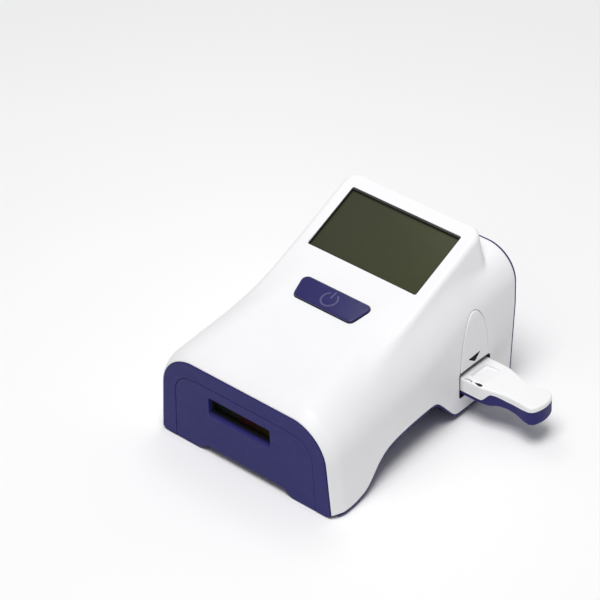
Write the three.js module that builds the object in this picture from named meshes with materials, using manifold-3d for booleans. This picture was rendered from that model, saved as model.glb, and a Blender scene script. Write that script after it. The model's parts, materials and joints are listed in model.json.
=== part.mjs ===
// A bench-top rapid test reader, in millimetres, +Z up.
// The housing is a white moulded cover over a violet base, with a tilted display hood, one power key on the
// sloping deck, a scanning module that pulls out of the front like a drawer, and a slot in the right side
// that holds a test device. X runs to the slot side, Y to the back.
// Everything is built about the housing's centre plane with the front face at y = 0, and the whole group is
// shifted at the end so that the origin is at the bottom centre of its bounding box.
import * as THREE from "three";
import { mergeVertices } from "three/addons/utils/BufferGeometryUtils.js";
import Module from "manifold-3d";

const wasm = await Module();
wasm.setup();

// ---------------------------------------------------------------- driving dimensions
const ORIGIN_X = 19.6, ORIGIN_Y = 70.35, TABLE_Z = -2.1; // bottom centre of the bounding box, in the housing's own frame
const WALL = 2.4; // moulded wall of the cover
const COVER_Y0 = 0.6, COVER_Y1 = 139.6; // front and back edge of the cover
const DECK_Z0 = 50.4, DECK_SLOPE = 0.207; // deck height at the front and its rise per millimetre
const HOOD_Y0 = 80.5, HOOD_Z0 = 67.5, HOOD_SLOPE = 0.437; // foot of the display plane and its rise
const HOOD_HALF = 42.0, HOOD_FLARE = 0.3, HOOD_DEPTH = 22, HOOD_BACK = 130.8, HOOD_EDGE = 2.2, HOOD_CORNER = 6.5;
const EDGE_Z = 1.35; // cover's lower edge beside the rear feet
const FRONT_INSET = 3.2, FRONT_TUCK = 2.3, TUCK_DEPTH = 7; // front plate's outline inside the outer form; how far the cover draws in to meet it
const DISPLAY_W = 69.4, DISPLAY_H = 38.2, DISPLAY_Y = 105.2;
const KEY_BACK_W = 44.3, KEY_FRONT_W = 36.7, KEY_D = 13.3, KEY_Y = 65.1;
const FACE = [[45.4, 0.5], [45.1, 8], [44.8, 15], [44.4, 23], [44.3, 27], [43.9, 29.8], [43.0, 32.2], [41.0, 34.7], [38.6, 36.5], [35.8, 37.7], [32.5, 38.3], [28, 38.6], [20, 38.7], [0, 38.8]]; // face of the pull-out module: half width and height
const NOTCH_IN = 24.2, NOTCH_OUT = 30.3, NOTCH_Z = 2.1, PLATE_Z = -1.75;
const WINDOW_X = -2.4, WINDOW_HALF = 19.8, WINDOW_Z0 = 23.1, WINDOW_Z1 = 32.8;
const DEV_Y = 110.4, DEV_W = 22.0, DEV_TOP = 22.6, DEV_X0 = 5.2, DEV_X1 = 97.4; // test device, seated
const SLOT_Y0 = 98.95, SLOT_Y1 = 121.85, SLOT_Z0 = 10.4, SLOT_Z1 = 24.3, LINER = 0.6;

// ---------------------------------------------------------------- small helpers
const lerp = (a, b, t) => a + (b - a) * t;
const smooth = (t) => { t = Math.min(1, Math.max(0, t)); return t * t * (3 - 2 * t); };
function table(rows, y) { // smooth interpolation through [y, value] rows
  if (y <= rows[0][0]) return rows[0][1];
  for (let i = 1; i < rows.length; i++) {
    if (y <= rows[i][0]) {
      const [y0, v0] = rows[i - 1], [y1, v1] = rows[i];
      const s = (k) => {
        if (k <= 0 || k >= rows.length - 1) return k <= 0 ? (rows[1][1] - rows[0][1]) / (rows[1][0] - rows[0][0]) : (rows[k][1] - rows[k - 1][1]) / (rows[k][0] - rows[k - 1][0]);
        const a = (rows[k][1] - rows[k - 1][1]) / (rows[k][0] - rows[k - 1][0]);
        const b = (rows[k + 1][1] - rows[k][1]) / (rows[k + 1][0] - rows[k][0]);
        return a * b <= 0 ? 0 : (2 * a * b) / (a + b);
      };
      const h = y1 - y0, t = (y - y0) / h, m0 = s(i - 1) * h, m1 = s(i) * h;
      return (2 * t ** 3 - 3 * t * t + 1) * v0 + (t ** 3 - 2 * t * t + t) * m0 + (-2 * t ** 3 + 3 * t * t) * v1 + (t ** 3 - t * t) * m1;
    }
  }
  return rows[rows.length - 1][1];
}
function solid(geometry, matrix) { // merges a geometry into one closed solid
  const g = geometry.index ? geometry.toNonIndexed() : geometry.clone();
  const bare = new THREE.BufferGeometry().setAttribute("position", g.getAttribute("position"));
  if (matrix) bare.applyMatrix4(matrix);
  const m = mergeVertices(bare, 1e-4);
  return new wasm.Manifold(new wasm.Mesh({ numProp: 3, vertProperties: m.attributes.position.array, triVerts: new Uint32Array(m.index.array) }));
}
function geometryOf(s) {
  const m = s.getMesh();
  const g = new THREE.BufferGeometry();
  g.setAttribute("position", new THREE.BufferAttribute(new Float32Array(m.vertProperties), 3));
  g.setIndex(new THREE.BufferAttribute(new Uint32Array(m.triVerts), 1));
  g.computeVertexNormals();
  return g;
}
const at = (x, y, z) => new THREE.Matrix4().makeTranslation(x, y, z);
function box(x0, x1, y0, y1, z0, z1) {
  return solid(new THREE.BoxGeometry(x1 - x0, y1 - y0, z1 - z0), at((x0 + x1) / 2, (y0 + y1) / 2, (z0 + z1) / 2));
}
function cylZ(x, y, z0, z1, r, n = 24) {
  const m = new THREE.Matrix4().makeRotationX(Math.PI / 2).premultiply(at(x, y, (z0 + z1) / 2));
  return solid(new THREE.CylinderGeometry(r, r, z1 - z0, n), m);
}
function cylY(x, z, y0, y1, r, n = 24) {
  return solid(new THREE.CylinderGeometry(r, r, y1 - y0, n), at(x, (y0 + y1) / 2, z));
}
function cylX(y, z, x0, x1, r, n = 24) {
  const m = new THREE.Matrix4().makeRotationZ(Math.PI / 2).premultiply(at((x0 + x1) / 2, y, z));
  return solid(new THREE.CylinderGeometry(r, r, x1 - x0, n), m);
}
function prism(points, depth, matrix, holes = []) { // outline in the XY plane, extruded along +Z, then placed
  const shape = new THREE.Shape(points.map((p) => new THREE.Vector2(p[0], p[1])));
  for (const h of holes) shape.holes.push(new THREE.Path(h.map((p) => new THREE.Vector2(p[0], p[1]))));
  return solid(new THREE.ExtrudeGeometry(shape, { depth, bevelEnabled: false, steps: 1 }), matrix);
}
function roundedPoly(points, radii, seg = 5) { // rounds each corner of a counter-clockwise polygon
  const out = [], n = points.length;
  for (let i = 0; i < n; i++) {
    const p = points[i], a = points[(i + n - 1) % n], b = points[(i + 1) % n];
    const r = Array.isArray(radii) ? radii[i] : radii;
    if (!r) { out.push(p); continue; }
    const u = [a[0] - p[0], a[1] - p[1]], v = [b[0] - p[0], b[1] - p[1]];
    const lu = Math.hypot(...u), lv = Math.hypot(...v);
    u[0] /= lu; u[1] /= lu; v[0] /= lv; v[1] /= lv;
    const half = Math.acos(Math.max(-1, Math.min(1, u[0] * v[0] + u[1] * v[1]))) / 2;
    const t = r / Math.tan(half), w = [u[0] + v[0], u[1] + v[1]], lw = Math.hypot(...w);
    const c = [p[0] + (w[0] / lw) * (r / Math.sin(half)), p[1] + (w[1] / lw) * (r / Math.sin(half))];
    const s = [p[0] + u[0] * t, p[1] + u[1] * t], e = [p[0] + v[0] * t, p[1] + v[1] * t];
    let a0 = Math.atan2(s[1] - c[1], s[0] - c[0]), a1 = Math.atan2(e[1] - c[1], e[0] - c[0]);
    let d = a1 - a0; while (d > Math.PI) d -= 2 * Math.PI; while (d < -Math.PI) d += 2 * Math.PI;
    for (let k = 0; k <= seg; k++) out.push([c[0] + r * Math.cos(a0 + (d * k) / seg), c[1] + r * Math.sin(a0 + (d * k) / seg)]);
  }
  return out;
}
const rect = (hx, hy, r, seg) => roundedPoly([[-hx, -hy], [hx, -hy], [hx, hy], [-hx, hy]], r, seg);
// Plane frames: local x stays +X, local y runs up the slope, local z is the surface normal.
function slopeFrame(y, z, slope) {
  const a = Math.atan(slope);
  return new THREE.Matrix4().makeRotationX(a).premultiply(at(0, y, z));
}
// A prism whose outline lies in the XZ plane and that runs from y0 to y1.
function prismY(points, y0, y1, holes = []) {
  const m = new THREE.Matrix4().makeRotationX(Math.PI / 2).premultiply(at(0, y1, 0));
  return prism(points, y1 - y0, m, holes);
}
// A prism whose outline lies in the YZ plane and that runs from x0 to x1.
function prismX(points, x0, x1, holes = []) {
  const m = new THREE.Matrix4().set(0, 0, 1, x0, 1, 0, 0, 0, 0, 1, 0, 0, 0, 0, 0, 1);
  return prism(points, x1 - x0, m, holes);
}
const union = (...s) => s.reduce((a, b) => a.add(b));

// ---------------------------------------------------------------- the housing's outer form
const deckZ = (y) => DECK_Z0 + DECK_SLOPE * y;
const bodyTop = (y) => { // top of the body without the hood
  if (y <= HOOD_Y0) return deckZ(y);
  const y1 = 137, z0 = deckZ(HOOD_Y0), z1 = 76.6, h = y1 - HOOD_Y0, t = Math.min(1, (y - HOOD_Y0) / h);
  const m0 = DECK_SLOPE * h, m1 = 0.06 * h;
  return (2 * t ** 3 - 3 * t * t + 1) * z0 + (t ** 3 - 2 * t * t + t) * m0 + (-2 * t ** 3 + 3 * t * t) * z1 + (t ** 3 - t * t) * m1 + Math.max(0, y - y1) * 0.06;
};
const sideAtFloor = (y) => table([[0, 58.0], [8, 58.3], [20, 57.7], [40, 55.9], [70, 53.9], [100, 53.0], [140, 52.2]], y);
const sideLean = (y) => table([[0, 0.08], [20, 0.075], [60, 0.035], [95, 0.0], [110, -0.01], [125, -0.032], [140, -0.066]], y);
const shoulderR = (y) => table([[0, 22], [30, 25], [70, 29], [84, 26.5], [105, 22.5], [129, 20.2], [140, 17.8]], y);
const sideX = (y, z) => sideAtFloor(y) - sideLean(y) * Math.min(z, 46);
const hoodZ = (y) => HOOD_Z0 + HOOD_SLOPE * (y - HOOD_Y0);
function form(x, y, z) { // signed distance, roughly, to the outer form
  const ax = Math.abs(x), R = shoulderR(y);
  const a = ax - sideX(y, z) + R, b = z - bodyTop(y) + R;
  const body = Math.hypot(Math.max(a, 0), Math.max(b, 0)) + Math.min(Math.max(a, b), 0) - R;
  const D = hoodZ(y), e = HOOD_EDGE;
  const drop = Math.min(D - z, HOOD_DEPTH);
  const p = (ax - HOOD_HALF - HOOD_FLARE * drop) * 0.958 + HOOD_CORNER;
  const r = y - HOOD_BACK + 0.06 * drop + HOOD_CORNER;
  const w = Math.hypot(Math.max(p, 0), Math.max(r, 0)) + Math.min(Math.max(p, r), 0) - HOOD_CORNER + e;
  const q = (z - D) * 0.9163 + e;
  const hood = Math.hypot(Math.max(w, 0), Math.max(q, 0)) + Math.min(Math.max(w, q), 0) - e;
  const k = 5.5 - 4.0 * smooth((y - 100) / 24), h = Math.max(k - Math.abs(body - hood), 0) / k;
  return Math.min(body, hood) - (h * h * k) / 4;
}
const ARCH = [[0, -1.0], [6, -1.0], [13, -0.95], [17.5, -0.5], [21, 0.15], [24, 1.1], [27, 2.9], [30, 5.2], [33, 7.7], [36, 9.9], [39.5, 11.9], [43.5, 13.5], [48, 14.5], [54, 15.2], [62, 15.8], [70, 16.15], [77, 16.5], [80, 16.2], [82.3, 15.1], [85.3, 12.3], [88.9, 8.0], [92, 4.3], [95, 1.2], [97.5, 0.2], [102, 0], [125, -0.5], [140, -0.9]]; // rise of the lower edge, highest in the arch between the front and rear feet
const ARCH_YS = ARCH.map((p) => p[0]).filter((y) => y > 4.2 && y < 134);
const tuck = (y) => FRONT_TUCK * Math.max(0, 1 - Math.max(0, y - COVER_Y0) / TUCK_DEPTH) ** 1.5;
const edgeZ = (y) => EDGE_Z + table(ARCH, y);
const CENTRE_Z = 26;
function section(y, inset, zLow, n) { // one cross-section from the right lower edge over the top to the left
  const find = (phi) => {
    const c = Math.cos(phi), s = Math.sin(phi);
    let lo = 2, hi = 2;
    while (hi < 140 && form(hi * c, y, CENTRE_Z + hi * s) + inset < 0) { lo = hi; hi += 2; }
    for (let i = 0; i < 26; i++) { const m = (lo + hi) / 2; if (form(m * c, y, CENTRE_Z + m * s) + inset < 0) lo = m; else hi = m; }
    return [lo * c, CENTRE_Z + lo * s];
  };
  const x0 = sideX(y, zLow) - inset;
  const phi0 = Math.atan2(zLow - CENTRE_Z, x0);
  const N = 160, fine = [];
  for (let i = 0; i <= N; i++) fine.push(find(lerp(phi0, Math.PI / 2, i / N)));
  fine[0] = [x0, zLow]; fine[N][0] = 0;
  const w = [0];
  for (let i = 1; i <= N; i++) {
    const d = Math.hypot(fine[i][0] - fine[i - 1][0], fine[i][1] - fine[i - 1][1]);
    let turn = 0;
    if (i < N) {
      const a0 = Math.atan2(fine[i][1] - fine[i - 1][1], fine[i][0] - fine[i - 1][0]);
      const a1 = Math.atan2(fine[i + 1][1] - fine[i][1], fine[i + 1][0] - fine[i][0]);
      turn = Math.abs(Math.atan2(Math.sin(a1 - a0), Math.cos(a1 - a0)));
    }
    w.push(w[i - 1] + d * 0.35 + turn * 16);
  }
  const half = [];
  for (let k = 0, i = 0; k <= n; k++) {
    const target = (w[N] * k) / n;
    while (i < N - 1 && w[i + 1] < target) i++;
    const t = Math.min(1, Math.max(0, (target - w[i]) / Math.max(1e-9, w[i + 1] - w[i])));
    half.push([lerp(fine[i][0], fine[i + 1][0], t), lerp(fine[i][1], fine[i + 1][1], t)]);
  }
  return [...half, ...half.slice(0, -1).reverse().map(([x, z]) => [-x, z])];
}
// Closed loops of equal length, one per station, lofted into a closed mesh.
function loft(ys, loops, capPairs) {
  const n = loops[0].length, pos = [], idx = [];
  loops.forEach((l, j) => l.forEach(([x, z]) => pos.push(x, ys[j], z)));
  for (let j = 0; j + 1 < ys.length; j++)
    for (let i = 0; i < n; i++) {
      const a = j * n + i, b = j * n + ((i + 1) % n), c = a + n, d = b + n;
      idx.push(a, b, d, a, d, c);
    }
  const e = (ys.length - 1) * n;
  for (const [p, q, r] of capPairs) { idx.push(p, r, q); idx.push(e + p, e + q, e + r); }
  const g = new THREE.BufferGeometry();
  g.setAttribute("position", new THREE.BufferAttribute(new Float32Array(pos), 3));
  g.setIndex(idx);
  let s = solid(g);
  if (s.volume() < 0) { for (let i = 0; i < idx.length; i += 3) [idx[i + 1], idx[i + 2]] = [idx[i + 2], idx[i + 1]]; g.setIndex(idx); s = solid(g); }
  return s;
}
function skin(ys, outer, inner, low, n) { // the layer between two insets, open below
  const loops = ys.map((y) => {
    const z = low(y);
    return [...section(y, outer(y), z, n), ...section(y, inner(y), z, n).reverse()];
  });
  const m = 2 * n + 1, caps = [];
  for (let i = 0; i + 1 < m; i++) caps.push([i, i + 1, 2 * m - 2 - i], [i, 2 * m - 2 - i, 2 * m - 1 - i]);
  return loft(ys, loops, caps);
}
function full(ys, inset, low, n) { // everything inside one inset
  const loops = ys.map((y) => section(y, inset(y), low(y), n));
  const m = loops[0].length, caps = [];
  for (let i = 0; i < (m - 1) / 2; i++) caps.push([i, i + 1, m - 2 - i], [i, m - 2 - i, m - 1 - i]);
  return loft(ys, loops, caps.filter(([a, b, c]) => a !== b && b !== c && a !== c));
}
const edgeRound = (d, r) => (d >= r ? 0 : r - Math.sqrt(Math.max(0, r * r - (r - d) ** 2)));

function alongRows(rows, n) { // points at equal distances along a smooth curve through the rows
  const t = [0];
  for (let i = 1; i < rows.length; i++) t.push(t[i - 1] + Math.hypot(rows[i][0] - rows[i - 1][0], rows[i][1] - rows[i - 1][1]));
  const out = [];
  for (let i = 0; i <= n; i++) {
    const q = (t[t.length - 1] * i) / n;
    out.push([table(t.map((v, k) => [v, rows[k][0]]), q), table(t.map((v, k) => [v, rows[k][1]]), q)]);
  }
  return out;
}

// ---------------------------------------------------------------- meshes
const reader = new THREE.Group();
const paints = {
  white: new THREE.MeshStandardMaterial({ color: 0xf3f3f4, roughness: 0.42, metalness: 0 }),
  violet: new THREE.MeshStandardMaterial({ color: 0x3f3b70, roughness: 0.5, metalness: 0 }),
  display: new THREE.MeshStandardMaterial({ color: 0x4a4d3b, roughness: 0.25, metalness: 0 }),
  black: new THREE.MeshStandardMaterial({ color: 0x191a1c, roughness: 0.6, metalness: 0 }),
  rubber: new THREE.MeshStandardMaterial({ color: 0x242427, roughness: 0.85, metalness: 0 }),
  board: new THREE.MeshStandardMaterial({ color: 0x1f5a3c, roughness: 0.55, metalness: 0 }),
  steel: new THREE.MeshStandardMaterial({ color: 0xb9bcc0, roughness: 0.3, metalness: 1 }),
  glass: new THREE.MeshStandardMaterial({ color: 0x2b0f10, roughness: 0.08, metalness: 0 }),
  device: new THREE.MeshStandardMaterial({ color: 0xf6f6f6, roughness: 0.4, metalness: 0 }),
  cell: new THREE.MeshStandardMaterial({ color: 0x2a5fa5, roughness: 0.45, metalness: 0 }),
  paper: new THREE.MeshStandardMaterial({ color: 0xf3efe4, roughness: 0.9, metalness: 0 }),
  amber: new THREE.MeshStandardMaterial({ color: 0xb5762a, roughness: 0.5, metalness: 0 }),
};
function piece(name, s, paint) {
  const mesh = new THREE.Mesh(geometryOf(s), paints[paint]);
  mesh.name = name;
  reader.add(mesh);
  return mesh;
}

// ---- cover: the white moulding, open at the front, back and below
const N = 14;
const stations = [COVER_Y0, 1.4, 2.3, 3.4, 4.6, ...ARCH_YS.filter((y) => y < 124), 9, 83.7, 107, 112, 117, 122, 126, 128.4, 130.2, 131.6, 133.4, 136.4, 138.6, COVER_Y1].sort((a, b) => a - b);
let cover = skin(
  stations,
  (y) => tuck(y) + edgeRound(COVER_Y1 - y, 1.4) * 0.6,
  (y) => (y < 9 ? lerp(2.9, WALL, smooth((y - 3.6) / 5.4)) : WALL),
  edgeZ,
  N
);
// display opening, with the rebate behind it for the lens and its gasket
const displayFrame = slopeFrame(DISPLAY_Y, hoodZ(DISPLAY_Y), HOOD_SLOPE);
const onDisplay = (z) => displayFrame.clone().multiply(at(0, 0, z));
cover = cover.subtract(prism(rect(DISPLAY_W / 2, DISPLAY_H / 2, 0.9, 4), 8, onDisplay(-5)));
cover = cover.subtract(prism(rect(DISPLAY_W / 2 + 2.2, DISPLAY_H / 2 + 2.2, 1.6, 3), 8, onDisplay(-9.5)));
// key opening in the deck
const keyFrame = slopeFrame(KEY_Y, deckZ(KEY_Y), DECK_SLOPE);
const onKey = (z) => keyFrame.clone().multiply(at(0, 0, z));
const keyOutline = (grow, r, seg = 5) => {
  const b = KEY_BACK_W / 2 + grow * 1.1, f = KEY_FRONT_W / 2 + grow * 1.1, d = KEY_D / 2 + grow;
  return roundedPoly([[-f, -d], [f, -d], [b, d], [-b, d]], r + grow, seg);
};
cover = cover.subtract(prism(keyOutline(0.35, 2.8), 10, onKey(-6)));
// pointed-arch bezel seat in the right side, and the slot through the wall
const BULLET = [[10.9, 20.5], [10.8, 26], [10.4, 31], [9.8, 36.4], [8.9, 42], [7.5, 47.5], [5.7, 52.2], [3.9, 55], [2.0, 56.7], [0, 57.2]]; // half width and height
const ARCH_Y = 110.0; // its centre line
const archOutline = (grow) => { // outline in the YZ plane, closed below by a straight edge
  const g = BULLET.map(([w, z], i) => [i === BULLET.length - 1 ? 0 : w + grow, i === 0 ? z - grow : z + grow * Math.max(0, (z - 40) / 18)]);
  return [...g.slice(0, -1).map(([w, z]) => [ARCH_Y + w, z]), ...g.slice().reverse().map(([w, z]) => [ARCH_Y - w, z])];
};
const SEAT = 1.0;
const bezelYs = [94, 98, 104, 110, 116, 122, 127];
const seat = full(bezelYs, () => SEAT, () => 4, N);
const seatCut = prismX(archOutline(0), 44, 60).subtract(seat);
cover = cover.subtract(seatCut);
const slotOutline = (g, r) => roundedPoly([[SLOT_Y0 - g, SLOT_Z0 - g], [SLOT_Y1 + g, SLOT_Z0 - g], [SLOT_Y1 + g, SLOT_Z1 + g], [SLOT_Y0 - g, SLOT_Z1 + g]], r + g, 4);
cover = cover.subtract(prismX(slotOutline(LINER + 0.3, 1.0), 44, 60));
// screw bosses moulded under the shoulders
const bossXY = [[-52.0, 21], [52.0, 21], [-46.8, 129], [46.8, 129]];
for (const [x, y] of bossXY) {
  const rib = box(Math.min(x, x * 1.15), Math.max(x, x * 1.15), y - 1.2, y + 1.2, 5.2, 30);
  const boss = cylZ(x, y, 5.2, 30, 3.4, 16).add(rib).intersect(full([14, 21, 28, 120, 129, 136], () => 1.2, () => 3, N));
  cover = cover.add(boss).subtract(cylZ(x, y, 0, 14.5, 1.25, 12));
}
// posts for the key board and the lower edge of the display board
for (const x of [-26, 26]) cover = cover.add(solid(new THREE.CylinderGeometry(2.1, 2.1, 9.8, 14), onKey(-6.5).multiply(at(x, 0, 0)).multiply(new THREE.Matrix4().makeRotationX(Math.PI / 2))));
for (const x of [-26, 26]) cover = cover.subtract(solid(new THREE.CylinderGeometry(0.95, 0.95, 8, 10), onKey(-9.4).multiply(at(x, 0, 0)).multiply(new THREE.Matrix4().makeRotationX(Math.PI / 2))));
for (const x of [-31, 31]) cover = cover.add(solid(new THREE.CylinderGeometry(1.6, 1.6, 6.0, 14), onDisplay(-4.4).multiply(at(x, -23.3, 0)).multiply(new THREE.Matrix4().makeRotationX(Math.PI / 2))));
for (const x of [-31, 31]) cover = cover.subtract(solid(new THREE.CylinderGeometry(0.8, 0.8, 6, 10), onDisplay(-6.2).multiply(at(x, -23.3, 0)).multiply(new THREE.Matrix4().makeRotationX(Math.PI / 2))));
piece("cover", cover, "white");

// ---- base: violet tray that follows the arch, its lip just showing under the cover's edge
const baseYs = [3.5, ...ARCH_YS, 9, 116, 134.6].sort((a, b) => a - b);
const baseLow = (y) => edgeZ(y) - 1.2;
const baseLoops = baseYs.map((y) => {
  const z = baseLow(y), lip = sideX(y, z) - tuck(y) - 0.3, wall = sideX(y, z + 4) - WALL - (y < 9 ? lerp(0.9, 0.4, (y - 4.2) / 4.8) : 0.4);
  const pts = [[lip, z], [lip, z + 0.9], [wall, z + 0.9], [wall, z + 6.7], [wall - 1.8, z + 6.7], [wall - 1.8, z + 2.7]];
  return [...pts, ...pts.slice().reverse().map(([x, q]) => [-x, q])];
});
const baseCaps = [[0, 1, 2], [11, 9, 10], [0, 2, 5], [2, 3, 4], [2, 4, 5], [11, 6, 9], [9, 6, 8], [8, 6, 7], [0, 5, 6], [0, 6, 11]];
let base = loft(baseYs, baseLoops, baseCaps);
const FOOT = [["front_left", -34, 14], ["front_right", 34, 14], ["rear_left", -32, 127], ["rear_right", 32, 127]];
// recess behind the notch in the front plate
base = base.add(box(-32.5, 32.5, 3.8, 9.6, -0.5, 4.4)).subtract(box(-NOTCH_OUT, NOTCH_OUT, 3, 7.6, -3, NOTCH_Z));
for (const [, x, y] of FOOT) base = base.subtract(cylZ(x, y, -3, 0.9, 6.3, 24));
for (const [x, y] of bossXY) {
  base = base.subtract(cylZ(x, y, 4.9, 20, 3.8, 16)).subtract(cylZ(x, y, -3, 1.1, 3.4, 20)).subtract(cylZ(x, y, -3, 6, 1.9, 16));
}
// relief for the cover's slot corner and standoffs for the boards
base = base.subtract(box(44, 60, SLOT_Y0 - 1.8, SLOT_Y1 + 1.8, 5.6, 30));
const POSTS = [[-40, 52], [40, 52], [-40, 91.6], [40, 91.6]];
for (const [x, y] of POSTS) {
  const z0 = baseLow(y) + 1.2;
  base = base.add(cylZ(x, y, z0, 41.6, 2.6, 12)).subtract(cylZ(x, y, 32, 43, 1.1, 8));
}
piece("base", base, "violet");
for (const [name, x, y] of FOOT) piece("foot_" + name, cylZ(x, y, TABLE_Z, 0.6, 6.0, 28), "rubber");
const screwZ = (x, y, z, head, shank, len) => union(cylZ(x, y, z - 1.6, z, head, 14), cylZ(x, y, z - 0.2, z + len, shank, 8)).subtract(cylZ(x, y, z - 2, z - 0.9, 0.95, 6));
bossXY.forEach(([x, y], i) => piece("case_screw_" + (i + 1), screwZ(x, y, 1.05, 2.8, 1.0, 11.0), "steel"));

// ---- front bezel: the fixed violet frame round the module
const outline0 = section(COVER_Y0, FRONT_INSET, PLATE_Z + 1.65, N);
const faceOpening = (grow) => {
  const half = alongRows(FACE, 26), out = [[half[0][0] + grow, -6]];
  half.forEach(([x, z], i) => {
    const a = half[Math.max(0, i - 1)], b = half[Math.min(26, i + 1)];
    const l = Math.hypot(b[0] - a[0], b[1] - a[1]), n = i === 26 ? [0, 1] : [(b[1] - a[1]) / l, -(b[0] - a[0]) / l];
    out.push([i === 26 ? 0 : x + n[0] * grow, z + n[1] * grow]);
  });
  return [...out, ...out.slice(0, -1).reverse().map(([x, z]) => [-x, z])];
};
const X0 = outline0[0][0];
const frontFoot = (s) => { // lower end of the plate on one side, its outer corner rounded
  const pts = [[45.6, PLATE_Z], [X0 - 5, PLATE_Z], [X0 - 2.8, PLATE_Z + 0.28], [X0 - 1.2, PLATE_Z + 0.85], [X0, PLATE_Z + 1.65], [X0, PLATE_Z + 2], [45.6, PLATE_Z + 2]];
  return prismY(s > 0 ? pts : pts.map(([x, z]) => [-x, z]).reverse(), 0, 3.2);
};
let bezel = prismY(outline0, 0, 3.2).add(frontFoot(1)).add(frontFoot(-1));
bezel = bezel.subtract(prismY(faceOpening(0.35), -1, 5));
piece("front_bezel", bezel, "violet");

// ---- scanning module: face, case, window, engine, board and plug, sliding out of the front
let face = prismY(faceOpening(0), 0.1, 3.0).intersect(prismY([[-60, PLATE_Z], [-NOTCH_OUT, PLATE_Z], [-NOTCH_IN, NOTCH_Z], [NOTCH_IN, NOTCH_Z], [NOTCH_OUT, PLATE_Z], [60, PLATE_Z], [60, 60], [-60, 60]], -1, 5));
const winOutline = (gx, gz, r) => roundedPoly([[WINDOW_X - WINDOW_HALF - gx, WINDOW_Z0 - gz], [WINDOW_X + WINDOW_HALF + gx, WINDOW_Z0 - gz], [WINDOW_X + WINDOW_HALF + gx, WINDOW_Z1 + gz], [WINDOW_X - WINDOW_HALF - gx, WINDOW_Z1 + gz]], r, 4);
face = face.subtract(prismY(winOutline(0, 0, 1), -1, 5));
for (let k = 0; k < 2; k++) face = face.subtract(prismY(winOutline(0.4 - 0.2 * k, 0.4 - 0.2 * k, 1.2), -1, 0.25 + 0.2 * k));
face = face.subtract(prismY(winOutline(2.3, 2.3, 1.2), 2.3, 5)); // seat for the case's black collar
piece("module_face", face, "violet");
let mcase = box(-37.6, 37.6, 3.3, 43, 20.8, 38.0).intersect(prismY(faceOpening(-0.5), 0, 60)).subtract(box(-36, 36, 4.9, 41.4, 22.4, 36.4).intersect(prismY(faceOpening(-2.1), 0, 60)));
mcase = mcase.add(prismY(winOutline(2.0, 2.0, 1.0), 2.6, 3.4)).subtract(prismY(winOutline(0, 0, 1), 0, 6)); // collar round the window
mcase = mcase.subtract(box(-11, 11, 40, 45, 26.1, 33));
for (const s of [-1, 1]) mcase = mcase.add(box(s > 0 ? 37.4 : -38.6, s > 0 ? 38.6 : -37.4, 6, 42, 28.6, 30.4)); // side rails
piece("module_case", mcase, "black");
piece("scan_window", prismY(winOutline(2.0, 0.4, 1.0), 5.2, 6.6), "glass");
piece("scan_engine", box(-12, 12, 9, 25, 22.9, 35.6).subtract(box(-9, 9, 8, 12, 25, 33)), "black");
piece("module_board", box(-34, 34, 27, 40.9, 24.4, 26.0), "board");
piece("module_plug", box(-10, 10, 33, 46.4, 26.4, 32.2).subtract(box(-8.4, 8.4, 43.5, 47, 28.3, 30.3)), "black");

// ---- bay frame: legs and rails that carry the module
let bay = box(-42.4, 42.4, 5, 36, 18.3, 19.8);
for (const x of [-42.4, 40.0]) bay = bay.add(box(x, x + 2.4, 5, 36, 18.3, 37.6)).add(box(x, x + 2.4, 35.9, 43.6, 21, 37.6));
for (const s of [-1, 1]) {
  const o = s > 0 ? [[40.2, 25.6], [38.9, 26.9], [38.9, 28.3], [40.2, 28.3]] : [[-40.2, 25.6], [-40.2, 28.3], [-38.9, 28.3], [-38.9, 26.9]];
  const o2 = s > 0 ? [[40.2, 30.7], [38.9, 30.7], [38.9, 32.1], [40.2, 33.4]] : [[-40.2, 30.7], [-40.2, 33.4], [-38.9, 32.1], [-38.9, 30.7]];
  bay = bay.add(prismY(o, 6.4, 43)).add(prismY(o2, 6.4, 43));
  bay = bay.add(box(s > 0 ? 36 : -40, s > 0 ? 40 : -36, 18, 21.5, 3.6, 18.4));
  bay = bay.add(box(s > 0 ? 20 : -24, s > 0 ? 24 : -20, 6, 9, 4.7, 18.4));
}
piece("module_bay", bay, "black");

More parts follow.
